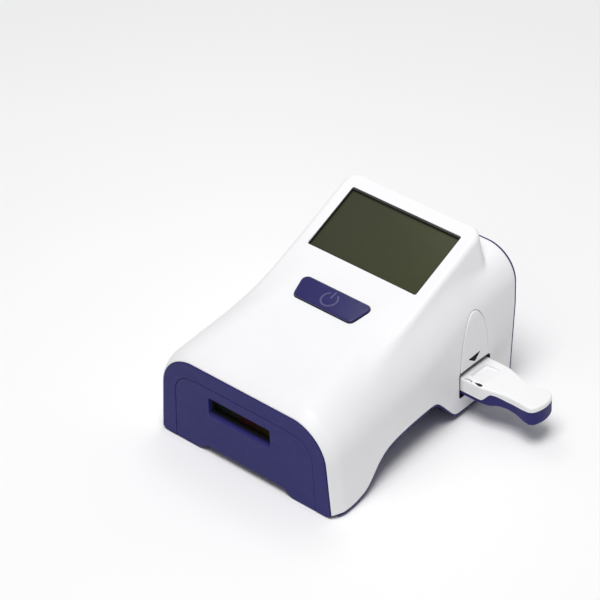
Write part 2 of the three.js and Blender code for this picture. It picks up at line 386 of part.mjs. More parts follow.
// ---- display: lens, gasket, panel, board and ribbon
piece("display_lens", prism(rect(DISPLAY_W / 2 + 1.9, DISPLAY_H / 2 + 1.9, 1.4, 3), 1.0, onDisplay(-2.75)), "display");
piece("display_frame", prism(rect(DISPLAY_W / 2 - 0.3, DISPLAY_H / 2 - 0.3, 0.7, 3), 1.15, onDisplay(-1.45), [rect(DISPLAY_W / 2 - 0.9, DISPLAY_H / 2 - 0.9, 0.4, 3)]), "black");
piece("display_gasket", prism(rect(DISPLAY_W / 2 + 1.9, DISPLAY_H / 2 + 1.9, 1.4, 3), 1.0, onDisplay(-4.05), [rect(DISPLAY_W / 2 - 0.6, DISPLAY_H / 2 - 0.6, 0.6, 3)]), "black");
piece("display_panel", prism(rect(DISPLAY_W / 2 + 0.9, DISPLAY_H / 2 + 1.2, 0.8, 2), 3.2, onDisplay(-7.55)), "display");
{
  let s = prism(roundedPoly([[-36.4, -25], [36.4, -25], [36.4, 19.6], [-36.4, 19.6]], 1.5, 3), 1.6, onDisplay(-9.45));
  for (const x of [-31, 31]) s = s.subtract(solid(new THREE.CylinderGeometry(1.0, 1.0, 6, 14), onDisplay(-9).multiply(at(x, -23.3, 0)).multiply(new THREE.Matrix4().makeRotationX(Math.PI / 2))));
  piece("display_board", s, "board");
}
{
  const a = new THREE.Vector3(0, -16, -10.2).applyMatrix4(displayFrame), b = new THREE.Vector3(0, -16, -14).applyMatrix4(displayFrame);
  const path = [[a.y, a.z], [b.y, b.z], [b.y + 2.4, b.z - 4], [b.y + 0.6, b.z - 8], [b.y - 2.4, 47.6]];
  const c = new THREE.CatmullRomCurve3(path.map(([y, z]) => new THREE.Vector3(0, y, z)));
  const pts = c.getPoints(10), up = [], dn = [];
  pts.forEach((p, i) => {
    const q = pts[Math.min(i + 1, 10)], r = pts[Math.max(i - 1, 0)], t = q.clone().sub(r).normalize();
    up.push([p.y - t.z * 0.2, p.z + t.y * 0.2]); dn.push([p.y + t.z * 0.2, p.z - t.y * 0.2]);
  });
  piece("display_ribbon", prismX([...dn, ...up.reverse()], -8, 8), "amber");
}

// ---- power key, its switch and the little board under the deck
let key = prism(keyOutline(0, 2.8), 4.1, onKey(-2.9));
key = key.add(prism(keyOutline(-0.35, 2.6), 0.35, onKey(1.18)));
key = key.add(prism(keyOutline(1.2, 2.8), 0.9, onKey(-3.75))); // retaining flange under the wall
key = key.add(prism(rect(1.9, 1.9, 0.4, 2), 2.2, onKey(-5.9)));
piece("power_key", key, "violet");
{
  let s = prism(rect(29, 5.5, 1.5, 3), 1.6, onKey(-13.2));
  for (const x of [-26, 26]) s = s.subtract(solid(new THREE.CylinderGeometry(1.2, 1.2, 6, 14), onKey(-12).multiply(at(x, 0, 0)).multiply(new THREE.Matrix4().makeRotationX(Math.PI / 2))));
  piece("key_board", s, "board");
}
piece("key_switch", prism(rect(3.1, 3.1, 0.5, 2), 3.4, onKey(-11.3)).subtract(prism(rect(1.9, 1.9, 0.3, 3), 4, onKey(-10.9))), "black");
const slopeScrew = (m, head, shank, len) => { // head below local z = 0, shank upward
  const up = (r, h, z, n) => solid(new THREE.CylinderGeometry(r, r, h, n), m.clone().multiply(at(0, 0, z)).multiply(new THREE.Matrix4().makeRotationX(Math.PI / 2)));
  return up(head, 1.3, -0.65, 14).add(up(shank, len + 0.2, len / 2 - 0.1, 8)).subtract(up(head * 0.34, 1.4, -1.2, 6));
};
[-26, 26].forEach((x, i) => piece("key_board_screw_" + (i + 1), slopeScrew(onKey(-13.4).multiply(at(x, 0, 0)), 2.1, 0.75, 6.4), "steel"));
[-31, 31].forEach((x, i) => piece("display_screw_" + (i + 1), slopeScrew(onDisplay(-9.65).multiply(at(x, -23.3, 0)), 1.6, 0.6, 5.0), "steel"));
{
  const m = keyFrame.clone().multiply(at(0, 0, -7.8)).multiply(new THREE.Matrix4().makeRotationX(Math.PI / 2));
  piece("switch_plunger", solid(new THREE.CylinderGeometry(1.5, 1.5, 3.3, 18), m), "black");
}

// ---- side bezel round the slot, guide channel and leaf spring
let side = skin(bezelYs, () => -0.4, () => SEAT - 0.3, () => 4, N).intersect(prismX(archOutline(-0.3), 44, 60));
side = side.subtract(prismX(slotOutline(LINER + 0.3, 1.0), 44, 60));
piece("slot_bezel", side, "white");
piece("slot_liner", prismX(slotOutline(LINER, 1.0), 49.2, 53.2).subtract(prismX(slotOutline(0, 1.0), 44, 60)), "black");
let guide = box(3, 48, 96.4, 124.0, 10.2, 11.8).add(box(3, 48, 96.4, 98.4, 4.1, 23.6)).add(box(3, 48, 122.0, 124.0, 4.1, 23.6)).add(box(3, 4.7, 96.4, 124.0, 4.1, 23.6));
guide = guide.subtract(box(22, 32, 96, 98.0, 12, 20));
piece("device_guide", guide, "black");
piece("guide_spring", prism([[22.6, 96.6], [31.4, 96.6], [31.4, 96.9], [27, 97.7], [22.6, 96.9]], 6.4, at(0, 0, 12.8)), "steel");

// ---- optics above the channel: housing, lens barrel, sensor, board, two light sources
let optics = box(9, 45, 98, 122.6, 24.0, 50).subtract(box(10.8, 43.2, 99.8, 120.8, 23, 48.2));
optics = optics.subtract(cylZ(27, 110.2, 46, 52, 5.2, 20));
piece("optics_housing", optics, "black");
piece("lens_barrel", cylZ(27, 110.2, 40, 52.4, 4.9, 24).subtract(cylZ(27, 110.2, 39, 50.5, 3.4, 20)), "black");
piece("image_sensor", box(22, 32, 105.2, 115.2, 52.8, 54.3), "black");
piece("sensor_board", box(12, 42, 99.5, 121, 54.6, 56.2), "board");
piece("light_left", box(12.2, 15.6, 104, 116.5, 42.6, 47.9), "amber");
piece("light_right", box(38.4, 41.8, 104, 116.5, 42.6, 47.9), "amber");

// ---- battery, main board, buzzer, sockets
piece("battery_pack", (() => { let s = box(-34, 34, 62, 82, 21.2, 39.2); return s.add(cylX(62.5, 30.2, -34, 34, 9.0, 24)).add(cylX(81.5, 30.2, -34, 34, 9.0, 24)); })(), "cell");
{
  let s = box(-43.5, 43.5, 48.5, 95.5, 41.9, 43.5);
  for (const [x, y] of POSTS) s = s.subtract(cylZ(x, y, 41, 45, 1.2, 14));
  piece("main_board", s, "board");
}
piece("display_socket", box(-9.4, 9.4, 92.0, 95.3, 43.8, 47.2), "black");
piece("riser_board", box(-16, 16, 50.8, 52.4, 24, 41.6), "board");
piece("processor", box(-14, 2, 70, 86, 43.8, 45.6), "black");
piece("buzzer", cylZ(-29, 80, 43.8, 49.5, 6, 20).subtract(cylZ(-29, 80, 48, 50, 1.2, 10)), "black");
piece("module_socket", box(-12, 12, 44.6, 50.5, 25, 33.6).subtract(box(-10.4, 10.4, 44, 48.6, 26.0, 32.6)), "black");
POSTS.forEach(([x, y], i) => {
  piece("board_screw_" + (i + 1), union(cylZ(x, y, 43.75, 45.3, 2.2, 14), cylZ(x, y, 36, 43.9, 0.85, 8)).subtract(cylZ(x, y, 44.6, 46, 0.8, 6)), "steel");
});

// ---- rear panel with its sockets
const rearYs = [136.4, 138.6, 140.2];
let rear = prismY(section(COVER_Y1, 0.9, -0.2, N), 139.9, 140.7).add(full(rearYs, () => WALL + 0.35, () => 3.6, N));
rear = rear.subtract(full([135, 136.2, 137.4, 138.2], () => WALL + 2.4, () => 6.0, N));
const usb = { x: -18, z: 17 }, dc = { x: -33, z: 17 };
rear = rear.subtract(box(usb.x - 4.6, usb.x + 4.6, 130, 145, usb.z - 3.4, usb.z + 3.4)).subtract(cylY(dc.x, dc.z, 130, 145, 4.6, 28));
for (let i = 0; i < 5; i++) rear = rear.subtract(prismY(roundedPoly([[-16, 46 + i * 4.4], [16, 46 + i * 4.4], [16, 47.8 + i * 4.4], [-16, 47.8 + i * 4.4]], 0.85, 4), 130, 145));
piece("rear_panel", rear, "violet");
piece("io_board", box(-43, -8, 104, 135.4, 9.4, 11.0), "board");
piece("usb_socket", box(usb.x - 4.1, usb.x + 4.1, 127.5, 140.4, usb.z - 2.9, usb.z + 2.9).subtract(box(usb.x - 3.4, usb.x + 3.4, 131, 142, usb.z - 2.2, usb.z + 2.2)).add(box(usb.x - 2.6, usb.x + 2.6, 130, 139.6, usb.z - 0.3, usb.z + 1.1)).add(box(usb.x - 4.1, usb.x + 4.1, 127.5, 134, 11.3, usb.z - 2.5)), "steel");
piece("power_socket", union(cylY(dc.x, dc.z, 126.5, 140.4, 4.1, 28), box(dc.x - 4.1, dc.x + 4.1, 126.5, 134, 11.3, 17)).subtract(cylY(dc.x, dc.z, 130, 142, 2.9, 24)).add(cylY(dc.x, dc.z, 129, 139.2, 0.95, 14)), "black");

// ---- test device: violet lower shell, white cover, strip
const devHalf = (x) => DEV_W / 2 - 3.4 * smooth((x - 63.5) / 17) + 0.95 * smooth((x - 84) / 9); // half width: a waist in the grip, then a flare
const devEnd = (s) => DEV_X1 - 2.4 * s * s; // s from -1 to 1 across the grip's end
const devOutline = (inset, x0, x1) => {
  const pts = [], xs = [];
  for (let x = 62; x <= 94; x += 3.2) xs.push(x);
  pts.push([x0 + 1.5, DEV_Y - DEV_W / 2 + inset]);
  for (const x of xs) if (x < x1) pts.push([x, DEV_Y - devHalf(x) + inset]);
  if (x1 > 95) for (let k = 0; k <= 12; k++) {
    const a = -1 + k / 6, e = 1 - Math.max(0, Math.abs(a) - 0.86) / 0.14;
    const hw = devHalf(97) - inset;
    pts.push([devEnd(a) - inset - (1 - Math.sqrt(Math.max(0, 1 - (1 - e) ** 2))) * 1.6, DEV_Y + a * hw]);
  }
  else pts.push([x1, DEV_Y - devHalf(x1) + inset], [x1, DEV_Y + devHalf(x1) - inset]);
  for (const x of xs.slice().reverse()) if (x < x1) pts.push([x, DEV_Y + devHalf(x) - inset]);
  pts.push([x0 + 1.5, DEV_Y + DEV_W / 2 - inset], [x0, DEV_Y + DEV_W / 2 - inset - 1.5], [x0, DEV_Y - DEV_W / 2 + inset + 1.5]);
  return pts;
};
// side profile (x, z): the seam rises behind the head, sinks a little at the waist and rises again to the end
const seam = (x) => 14.8 + 4.9 * smooth((x - 65.3) / 5.8) - 1.2 * smooth((x - 72) / 8) + 1.3 * smooth((x - 85) / 12);
const under = (x) => 12.2 + 1.2 * smooth((x - 69) / 6) - 2.0 * smooth((x - 80) / 12);
const topZ = (x) => DEV_TOP - 0.5 * smooth((x - 68) / 12) + 0.4 * smooth((x - 84) / 10);
const prof = (f, x0, x1, n) => Array.from({ length: n + 1 }, (_, i) => { const x = lerp(x0, x1, i / n); return [x, f(x)]; });
const prismXZ = (pts, y0, y1) => prismY(pts, y0, y1);
const devBlank = (inset) => prism(devOutline(inset, DEV_X0, DEV_X1), 40, at(0, 0, 0));
const lowerBand = prismXZ([...prof(under, 0, 104, 40), ...prof((x) => seam(x) - 0.15, 0, 104, 40).reverse()], 90, 130);
const upperBand = prismXZ([...prof((x) => seam(x) + 0.15, 0, 104, 40), ...prof(topZ, 0, 104, 40).reverse()], 90, 130);
let devBase = devBlank(0.1).intersect(lowerBand);
let devTop = devBlank(0).intersect(upperBand);
devBase = devBase.subtract(box(7.2, 66.8, 105.9, 114.5, 13.6, 19));
devTop = devTop.subtract(box(7.2, 66.8, 105.9, 114.5, 12, 18.6)); // strip bay, open below
devTop = devTop.subtract(box(18, 34, 107.6, 112.8, 12, 30)); // read window
for (let k = 0; k < 3; k++) devTop = devTop.subtract(box(17 - k * 0.5, 35 + k * 0.5, 107 - k * 0.4, 113.4 + k * 0.4, 21.2 + k * 0.4, 30));
devTop = devTop.subtract(prism(rect(3.6, 4.8, 1.2, 4), 10, at(44, DEV_Y, 21.6))).subtract(prism(rect(2.2, 3.4, 1.6, 5), 14, at(44, DEV_Y, 12))); // sample well
devTop = devTop.subtract(prismXZ([[55.3, 21.4], [65.4, DEV_TOP], [65.4, 26], [55.3, 26]], DEV_Y - 6.1, DEV_Y + 6.1)); // thumb ramp before the slot
piece("device_base", devBase, "violet");
piece("device_cover", devTop, "device");
piece("test_strip", box(8.2, 65.8, 106.9, 113.5, 14.2, 15.4).add(box(50, 65.8, 106.9, 113.5, 15.2, 17.4)), "paper");

reader.position.set(-ORIGIN_X, -ORIGIN_Y, -TABLE_Z);
export default reader;
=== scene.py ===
# Looks for a bench-top rapid test reader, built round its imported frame.
import json
import math

import bmesh
import bpy
import numpy as np
from mathutils import Matrix, Vector
from mathutils.geometry import tessellate_polygon

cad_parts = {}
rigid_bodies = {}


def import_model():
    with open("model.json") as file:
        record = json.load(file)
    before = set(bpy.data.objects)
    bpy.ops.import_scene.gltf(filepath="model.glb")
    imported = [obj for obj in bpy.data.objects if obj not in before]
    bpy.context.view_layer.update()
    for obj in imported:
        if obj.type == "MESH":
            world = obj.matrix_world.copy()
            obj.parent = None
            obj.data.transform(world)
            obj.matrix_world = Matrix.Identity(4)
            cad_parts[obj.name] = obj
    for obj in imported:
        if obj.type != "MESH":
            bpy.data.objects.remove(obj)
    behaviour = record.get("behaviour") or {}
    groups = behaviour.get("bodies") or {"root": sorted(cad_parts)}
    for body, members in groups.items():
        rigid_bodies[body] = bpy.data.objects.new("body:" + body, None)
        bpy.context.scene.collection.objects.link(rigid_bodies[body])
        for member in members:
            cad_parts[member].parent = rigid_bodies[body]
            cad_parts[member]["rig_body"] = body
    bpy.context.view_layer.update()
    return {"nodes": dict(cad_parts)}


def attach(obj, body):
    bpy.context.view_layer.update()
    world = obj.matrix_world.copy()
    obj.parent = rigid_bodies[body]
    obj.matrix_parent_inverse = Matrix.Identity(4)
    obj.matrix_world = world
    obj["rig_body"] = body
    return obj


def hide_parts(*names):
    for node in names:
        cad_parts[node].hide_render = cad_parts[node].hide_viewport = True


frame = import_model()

scene = bpy.context.scene

# ---------------------------------------------------------------- dimensions, in millimetres
TABLE_Z = -2.1
ORIGIN = np.array([19.6, 70.35, TABLE_Z])  # the frame's origin in the housing's own coordinates
WALL = 2.4
COVER_Y0, COVER_Y1 = 0.6, 139.6
DECK_Z0, DECK_SLOPE = 50.4, 0.207
HOOD_Y0, HOOD_Z0, HOOD_SLOPE = 80.5, 67.5, 0.437
HOOD_HALF, HOOD_FLARE, HOOD_DEPTH, HOOD_BACK, HOOD_EDGE, HOOD_CORNER = 42.0, 0.3, 22.0, 130.8, 2.2, 6.5
EDGE_Z, FRONT_INSET, FRONT_TUCK, TUCK_DEPTH = 1.35, 3.2, 2.3, 7.0
DISPLAY_W, DISPLAY_H, DISPLAY_Y = 69.4, 38.2, 105.2
KEY_BACK_W, KEY_FRONT_W, KEY_D, KEY_Y = 44.3, 36.7, 13.3, 65.1
FACE = [[45.4, 0.5], [45.1, 8], [44.8, 15], [44.4, 23], [44.3, 27], [43.9, 29.8], [43.0, 32.2], [41.0, 34.7], [38.6, 36.5], [35.8, 37.7], [32.5, 38.3], [28, 38.6], [20, 38.7], [0, 38.8]]
NOTCH_IN, NOTCH_OUT, NOTCH_Z, PLATE_Z = 24.2, 30.3, 2.1, -1.75
WINDOW_X, WINDOW_HALF, WINDOW_Z0, WINDOW_Z1 = -2.4, 19.8, 23.1, 32.8
DEV_Y, DEV_W, DEV_TOP, DEV_X0, DEV_X1 = 110.4, 22.0, 22.6, 5.2, 97.4
SLOT_Y0, SLOT_Y1, SLOT_Z0, SLOT_Z1, LINER = 98.95, 121.85, 10.4, 24.3, 0.6
ARCH_Y = 110.0  # centre line of the pointed plate over the slot


# ---------------------------------------------------------------- the housing's outer form
def smooth(t):
    t = np.clip(t, 0.0, 1.0)
    return t * t * (3 - 2 * t)


def table(rows, y):
    """Smooth interpolation through (y, value) rows, flat outside them."""
    xs, vs = np.array(rows, float).T
    d = np.diff(vs) / np.diff(xs)
    m = np.concatenate([[d[0]], np.where(d[:-1] * d[1:] <= 0, 0, 2 * d[:-1] * d[1:] / np.where(d[:-1] + d[1:] == 0, 1, d[:-1] + d[1:])), [d[-1]]])
    y = np.clip(np.asarray(y, float), xs[0], xs[-1])
    i = np.clip(np.searchsorted(xs, y, side="right") - 1, 0, len(xs) - 2)
    h = xs[i + 1] - xs[i]
    t = (y - xs[i]) / h
    return (2 * t**3 - 3 * t * t + 1) * vs[i] + (t**3 - 2 * t * t + t) * m[i] * h + (-2 * t**3 + 3 * t * t) * vs[i + 1] + (t**3 - t * t) * m[i + 1] * h


def deck_z(y):
    return DECK_Z0 + DECK_SLOPE * y


def body_top(y):
    y = np.asarray(y, float)
    y1, z0, z1 = 137.0, deck_z(HOOD_Y0), 76.6
    h = y1 - HOOD_Y0
    t = np.clip((y - HOOD_Y0) / h, 0, 1)
    m0, m1 = DECK_SLOPE * h, 0.06 * h
    back = (2 * t**3 - 3 * t * t + 1) * z0 + (t**3 - 2 * t * t + t) * m0 + (-2 * t**3 + 3 * t * t) * z1 + (t**3 - t * t) * m1 + np.maximum(0, y - y1) * 0.06
    return np.where(y <= HOOD_Y0, deck_z(y), back)


FLOOR_ROWS = [[0, 58.0], [8, 58.3], [20, 57.7], [40, 55.9], [70, 53.9], [100, 53.0], [140, 52.2]]
LEAN_ROWS = [[0, 0.08], [20, 0.075], [60, 0.035], [95, 0.0], [110, -0.01], [125, -0.032], [140, -0.066]]
SHOULDER_ROWS = [[0, 22], [30, 25], [70, 29], [84, 26.5], [105, 22.5], [129, 20.2], [140, 17.8]]
ARCH = [[0, -1.0], [6, -1.0], [13, -0.95], [17.5, -0.5], [21, 0.15], [24, 1.1], [27, 2.9], [30, 5.2], [33, 7.7], [36, 9.9], [39.5, 11.9], [43.5, 13.5], [48, 14.5], [54, 15.2], [62, 15.8], [70, 16.15], [77, 16.5], [80, 16.2], [82.3, 15.1], [85.3, 12.3], [88.9, 8.0], [92, 4.3], [95, 1.2], [97.5, 0.2], [102, 0], [125, -0.5], [140, -0.9]]


def side_x(y, z):
    return table(FLOOR_ROWS, y) - table(LEAN_ROWS, y) * np.minimum(z, 46)


def hood_z(y):
    return HOOD_Z0 + HOOD_SLOPE * (y - HOOD_Y0)


def edge_z(y):
    return EDGE_Z + table(ARCH, y)


def tuck(y):
    return FRONT_TUCK * np.maximum(0, 1 - np.maximum(0, y - COVER_Y0) / TUCK_DEPTH) ** 1.5


def form(x, y, z):
    """Signed distance, roughly, to the outer form."""
    ax, R = np.abs(x), table(SHOULDER_ROWS, y)
    a, b = ax - side_x(y, z) + R, z - body_top(y) + R
    body = np.hypot(np.maximum(a, 0), np.maximum(b, 0)) + np.minimum(np.maximum(a, b), 0) - R
    D, e = hood_z(y), HOOD_EDGE
    drop = np.minimum(D - z, HOOD_DEPTH)
    p = (ax - HOOD_HALF - HOOD_FLARE * drop) * 0.958 + HOOD_CORNER
    r = y - HOOD_BACK + 0.06 * drop + HOOD_CORNER
    w = np.hypot(np.maximum(p, 0), np.maximum(r, 0)) + np.minimum(np.maximum(p, r), 0) - HOOD_CORNER + e
    q = (z - D) * 0.9163 + e
    hood = np.hypot(np.maximum(w, 0), np.maximum(q, 0)) + np.minimum(np.maximum(w, q), 0) - e
    k = 5.5 - 4.0 * smooth((y - 100) / 24)
    h = np.maximum(k - np.abs(body - hood), 0) / k
    return np.minimum(body, hood) - h * h * k / 4


def surface_x(y, z, inset=0.0):
    """x of the right-hand surface at (y, z)."""
    y, z = np.broadcast_arrays(np.asarray(y, float), np.asarray(z, float))
    lo, hi = np.full(y.shape, 15.0), np.full(y.shape, 80.0)
    for _ in range(40):
        m = (lo + hi) / 2
        inside = form(m, y, z) + inset < 0
        lo, hi = np.where(inside, m, lo), np.where(inside, hi, m)
    return lo


MID_Z = 30.0
PHI = np.radians(np.concatenate([np.linspace(0, 36, 26, endpoint=False), np.linspace(36, 60, 60, endpoint=False), np.linspace(60, 90, 15)]))
TOE = [0.0, 0.08, 0.2, 0.4, 0.7]
LOW_N = 11


def edge_round(d, r):
    return np.where(d >= r, 0.0, r - np.sqrt(np.maximum(0, r * r - (r - np.minimum(d, r)) ** 2)))


def profile(y, inset, low, toe=0.0):
    """Half cross-sections for arrays of stations: (stations, points, 2) of x and z, lower edge to crown."""
    y, inset, low = (np.asarray(v, float) + 0 * np.asarray(y, float) for v in (y, inset, low))
    rise = (MID_Z - low[:, None]) * np.linspace(0, 1, LOW_N, endpoint=False)[None, 1:] ** 1.1
    rise = np.concatenate([np.repeat(np.array(TOE)[None], len(y), 0), np.maximum(rise, 0.9)], 1)
    rise = np.sort(rise, 1) + np.linspace(0, 1e-3, rise.shape[1])[None]
    z = low[:, None] + rise
    x = surface_x(np.repeat(y[:, None], z.shape[1], 1), z, inset[:, None] + edge_round(rise, toe) if toe else inset[:, None])
    c, s = np.cos(PHI)[None], np.sin(PHI)[None]
    Y, I = y[:, None] + 0 * c, inset[:, None]
    lo, hi, open_ = np.full(Y.shape, 2.0), np.full(Y.shape, 2.0), np.ones(Y.shape, bool)
    for r in np.arange(4.0, 130.0, 2.0):
        out = open_ & (form(r * c, Y, MID_Z + r * s) + I >= 0)
        hi = np.where(out, r, hi)
        open_ &= ~out
        lo = np.where(open_, r, lo)
    for _ in range(30):
        m = (lo + hi) / 2
        inside = form(m * c, Y, MID_Z + m * s) + I < 0
        lo, hi = np.where(inside, m, lo), np.where(inside, hi, m)
    up = np.stack([lo * c, MID_Z + lo * s], -1)
    up[:, -1, 0] = 0
    return np.concatenate([np.stack([x, z], -1), up], 1)


def arc(half):
    """Half cross-sections mirrored into whole ones."""
    mirrored = half[:, -2::-1].copy()
    mirrored[..., 0] *= -1
    return np.concatenate([half, mirrored], 1)


# ---------------------------------------------------------------- outlines
def rounded(points, radii, seg=8):
    out, n = [], len(points)
    for i in range(n):
        p, a, b = (np.array(points[k % n], float) for k in (i, i + n - 1, i + 1))
        r = radii[i] if isinstance(radii, (list, tuple)) else radii
        if r <= 0:
            out.append(p)
            continue
        u, v = (a - p) / np.linalg.norm(a - p), (b - p) / np.linalg.norm(b - p)
        half = math.acos(max(-1, min(1, float(u @ v)))) / 2
        w = (u + v) / np.linalg.norm(u + v)
        c = p + w * r / math.sin(half)
        s, e = p + u * r / math.tan(half) - c, p + v * r / math.tan(half) - c
        a0, a1 = math.atan2(s[1], s[0]), math.atan2(e[1], e[0])
        d = (a1 - a0 + math.pi) % (2 * math.pi) - math.pi
        for k in range(seg + 1):
            out.append(c + r * np.array([math.cos(a0 + d * k / seg), math.sin(a0 + d * k / seg)]))
    return np.array(out)


def rect(hx, hy, r, seg=8, cx=0.0, cy=0.0):
    return rounded([[cx - hx, cy - hy], [cx + hx, cy - hy], [cx + hx, cy + hy], [cx - hx, cy + hy]], r, seg)


def circle(r, n=48, cx=0.0, cy=0.0):
    a = np.arange(n) * 2 * math.pi / n
    return np.stack([cx + r * np.cos(a), cy + r * np.sin(a)], -1)


def grow(loop, d):
    """A counter-clockwise outline moved outwards by d."""
    if d == 0:
        return loop
    e = np.roll(loop, -1, 0) - loop
    e /= np.maximum(1e-9, np.linalg.norm(e, axis=1))[:, None]
    n = np.stack([e[:, 1], -e[:, 0]], -1)
    b = np.roll(n, 1, 0)
    return loop + d * (n + b) / np.maximum(0.3, 1 + (n * b).sum(1))[:, None]


def key_outline(g, r, seg=10):
    b, f, d = KEY_BACK_W / 2 + g * 1.1, KEY_FRONT_W / 2 + g * 1.1, KEY_D / 2 + g
    return rounded([[-f, -d], [f, -d], [b, d], [-b, d]], r + g, seg)


BULLET = [[10.9, 20.5], [10.8, 26], [10.4, 31], [9.8, 36.4], [8.9, 42], [7.5, 47.5], [5.7, 52.2], [3.9, 55], [2.0, 56.7], [0, 57.2]]


def bullet_outline(n=90, low=20.5):
    """Pointed-arch outline in the YZ plane, smoothed, counter-clockwise."""
    pts = np.array(BULLET)
    t = np.concatenate([[0], np.cumsum(np.hypot(*np.diff(pts, axis=0).T))])
    q = np.linspace(0, t[-1], n)
    w = table(np.stack([t, pts[:, 0]], -1), q)
    z = table(np.stack([t, pts[:, 1]], -1), q)
    w[-1] = 0
    above = z > low + 0.2
    w, z = np.append(np.interp(low, z, w), w[above]), np.append(low, z[above])
    right = np.stack([ARCH_Y + w, z], -1)
    left = right[-2::-1].copy()
    left[:, 0] = 2 * ARCH_Y - left[:, 0]
    return np.concatenate([right, left])


def slot_outline(g, r=1.0):
    return rect((SLOT_Y1 - SLOT_Y0) / 2 + g, (SLOT_Z1 - SLOT_Z0) / 2 + g, r + g, 8, (SLOT_Y0 + SLOT_Y1) / 2, (SLOT_Z0 + SLOT_Z1) / 2)


# ---------------------------------------------------------------- meshes
FRONT = Matrix(((1, 0, 0, 0), (0, 0, -1, 0), (0, 1, 0, 0), (0, 0, 0, 1)))  # local z runs out of the front
RIGHT = Matrix(((0, 0, 1, 0), (1, 0, 0, 0), (0, 1, 0, 0), (0, 0, 0, 1)))  # local z runs out of the right side
REAR = Matrix(((-1, 0, 0, 0), (0, 0, 1, 0), (0, 1, 0, 0), (0, 0, 0, 1)))  # local z runs out of the back
DOWN = Matrix(((1, 0, 0, 0), (0, -1, 0, 0), (0, 0, -1, 0), (0, 0, 0, 1)))  # local z runs down


def shift(x, y, z):
    return Matrix.Translation((x, y, z))


def slope(y, z, k):
    return shift(0, y, z) @ Matrix.Rotation(math.atan(k), 4, "X")


DISPLAY = slope(DISPLAY_Y, hood_z(DISPLAY_Y), HOOD_SLOPE)
KEY = slope(KEY_Y, deck_z(KEY_Y), DECK_SLOPE)


class Shape:
    """Vertices in millimetres in the housing's coordinates, faces, and a material index for each face."""

    def __init__(self):
        self.v, self.f, self.m = [], [], []

    def add(self, v, f, m=0):
        k = len(self.v)
        self.v.extend([tuple(map(float, p)) for p in v])
        self.f.extend([tuple(i + k for i in q) for q in f])
        self.m.extend([m] * len(f))
        return self

    def join(self, other, m=None):
        k = len(self.v)
        self.v.extend(other.v)
        self.f.extend([tuple(i + k for i in q) for q in other.f])
        self.m.extend(other.m if m is None else [m] * len(other.f))
        return self

    def moved(self, M):
        s = Shape()
        s.v = [tuple(M @ Vector(p)) for p in self.v]
        s.f, s.m = list(self.f), list(self.m)
        return s


def plate(outline, steps, M=Matrix(), holes=(), m=0):
    """Rings of an outline, moved by (growth, height) steps from bottom to top, closed by flat caps.
    Each hole is (outline, steps) with as many steps."""
    s = Shape()
    rings, base = [], 0
    loops = [(np.asarray(outline), steps)] + [(np.asarray(h), st) for h, st in holes]
    verts, faces, starts = [], [], []
    for k, (loop, st) in enumerate(loops):
        n = len(loop)
        first = len(verts)
        starts.append((first, n, len(st)))
        for g, h in st:
            verts.extend([(p[0], p[1], h) for p in grow(loop, g)])
        for j in range(len(st) - 1):
            for i in range(n):
                a, b = first + j * n + i, first + j * n + (i + 1) % n
                q = (a, b, b + n, a + n)
                faces.append(q if k == 0 else q[::-1])
    for top in (False, True):
        polys, index = [], []
        for first, n, levels in starts:
            o = first + (levels - 1) * n if top else first
            polys.append([Vector(verts[o + i]).to_2d().to_3d() for i in range(n)])
            index.extend(range(o, o + n))
        for t in tessellate_polygon(polys):
            a, b, c = (Vector(verts[index[i]]) for i in t)
            up = (b - a).cross(c - a).z > 0
            t = tuple(index[i] for i in t)
            faces.append(t if up == top else t[::-1])
    s.add([M @ Vector(v) for v in verts], faces, m)
    return s


def fillet(z0, z1, r0=0.0, r1=0.4, seg=4):
    """Steps of an upright wall with rounded bottom and top edges."""
    st = []
    if r0 > 0:
        st += [(-r0 * (1 - math.sin(a)), z0 + r0 * (1 - math.cos(a))) for a in np.linspace(0, math.pi / 2, seg + 1)]
    else:
        st += [(0.0, z0)]
    if r1 > 0:
        st += [(-r1 * (1 - math.cos(a)), z1 - r1 * (1 - math.sin(a))) for a in np.linspace(0, math.pi / 2, seg + 1)]
    else:
        st += [(0.0, z1)]
    return st


def flare(z0, z1, r, reach=3.0, seg=5):
    """Steps of a cutter whose mouth at height z1 rounds outwards by r."""
    st = [(0.0, z0)]
    st += [(r * (1 - math.cos(a)), z1 - r + r * math.sin(a)) for a in np.linspace(0, math.pi / 2, seg + 1)]
    # the mouth's last ring stands a little above the face, so that the cut leaves a clean edge
    st[-1] = (r * 1.02, z1 + 0.002)
    st += [(r * 1.02 + 0.2, z1 + reach)]
    return st


def to_object(shape, name):
    me = bpy.data.meshes.new(name)
    me.from_pydata(shape.v, [], shape.f)
    me.polygons.foreach_set("material_index", shape.m)
    me.update()
    ob = bpy.data.objects.new(name, me)
    scene.collection.objects.link(ob)
    return ob


def fix(ob, dist=1e-4):
    bm = bmesh.new()
    bm.from_mesh(ob.data)
    bmesh.ops.remove_doubles(bm, verts=bm.verts, dist=dist)
    bmesh.ops.dissolve_degenerate(bm, edges=bm.edges, dist=dist)
    bmesh.ops.recalc_face_normals(bm, faces=bm.faces)
    bm.to_mesh(ob.data)
    bm.free()
    return ob


def baked(ob):
    """The object's mesh with its modifiers applied."""
    dg = bpy.context.evaluated_depsgraph_get()
    dg.update()
    me = bpy.data.meshes.new_from_object(ob.evaluated_get(dg))
    old = ob.data
    ob.modifiers.clear()
    ob.data = me
    bpy.data.meshes.remove(old)
    return ob


def carve(ob, cutters, op="DIFFERENCE"):
    for c in cutters:
        c = c if isinstance(c, bpy.types.Object) else fix(to_object(c, "cutter"))
        mod = ob.modifiers.new("cut", "BOOLEAN")
        mod.operation, mod.object = op, c
        try:
            mod.solver = "MANIFOLD"
        except TypeError:
            mod.solver = "EXACT"
        before = len(ob.data.polygons)
        baked(ob)
        if len(ob.data.polygons) == 0:
            raise RuntimeError("a cut emptied " + ob.name)
        bpy.data.objects.remove(c)
    return ob


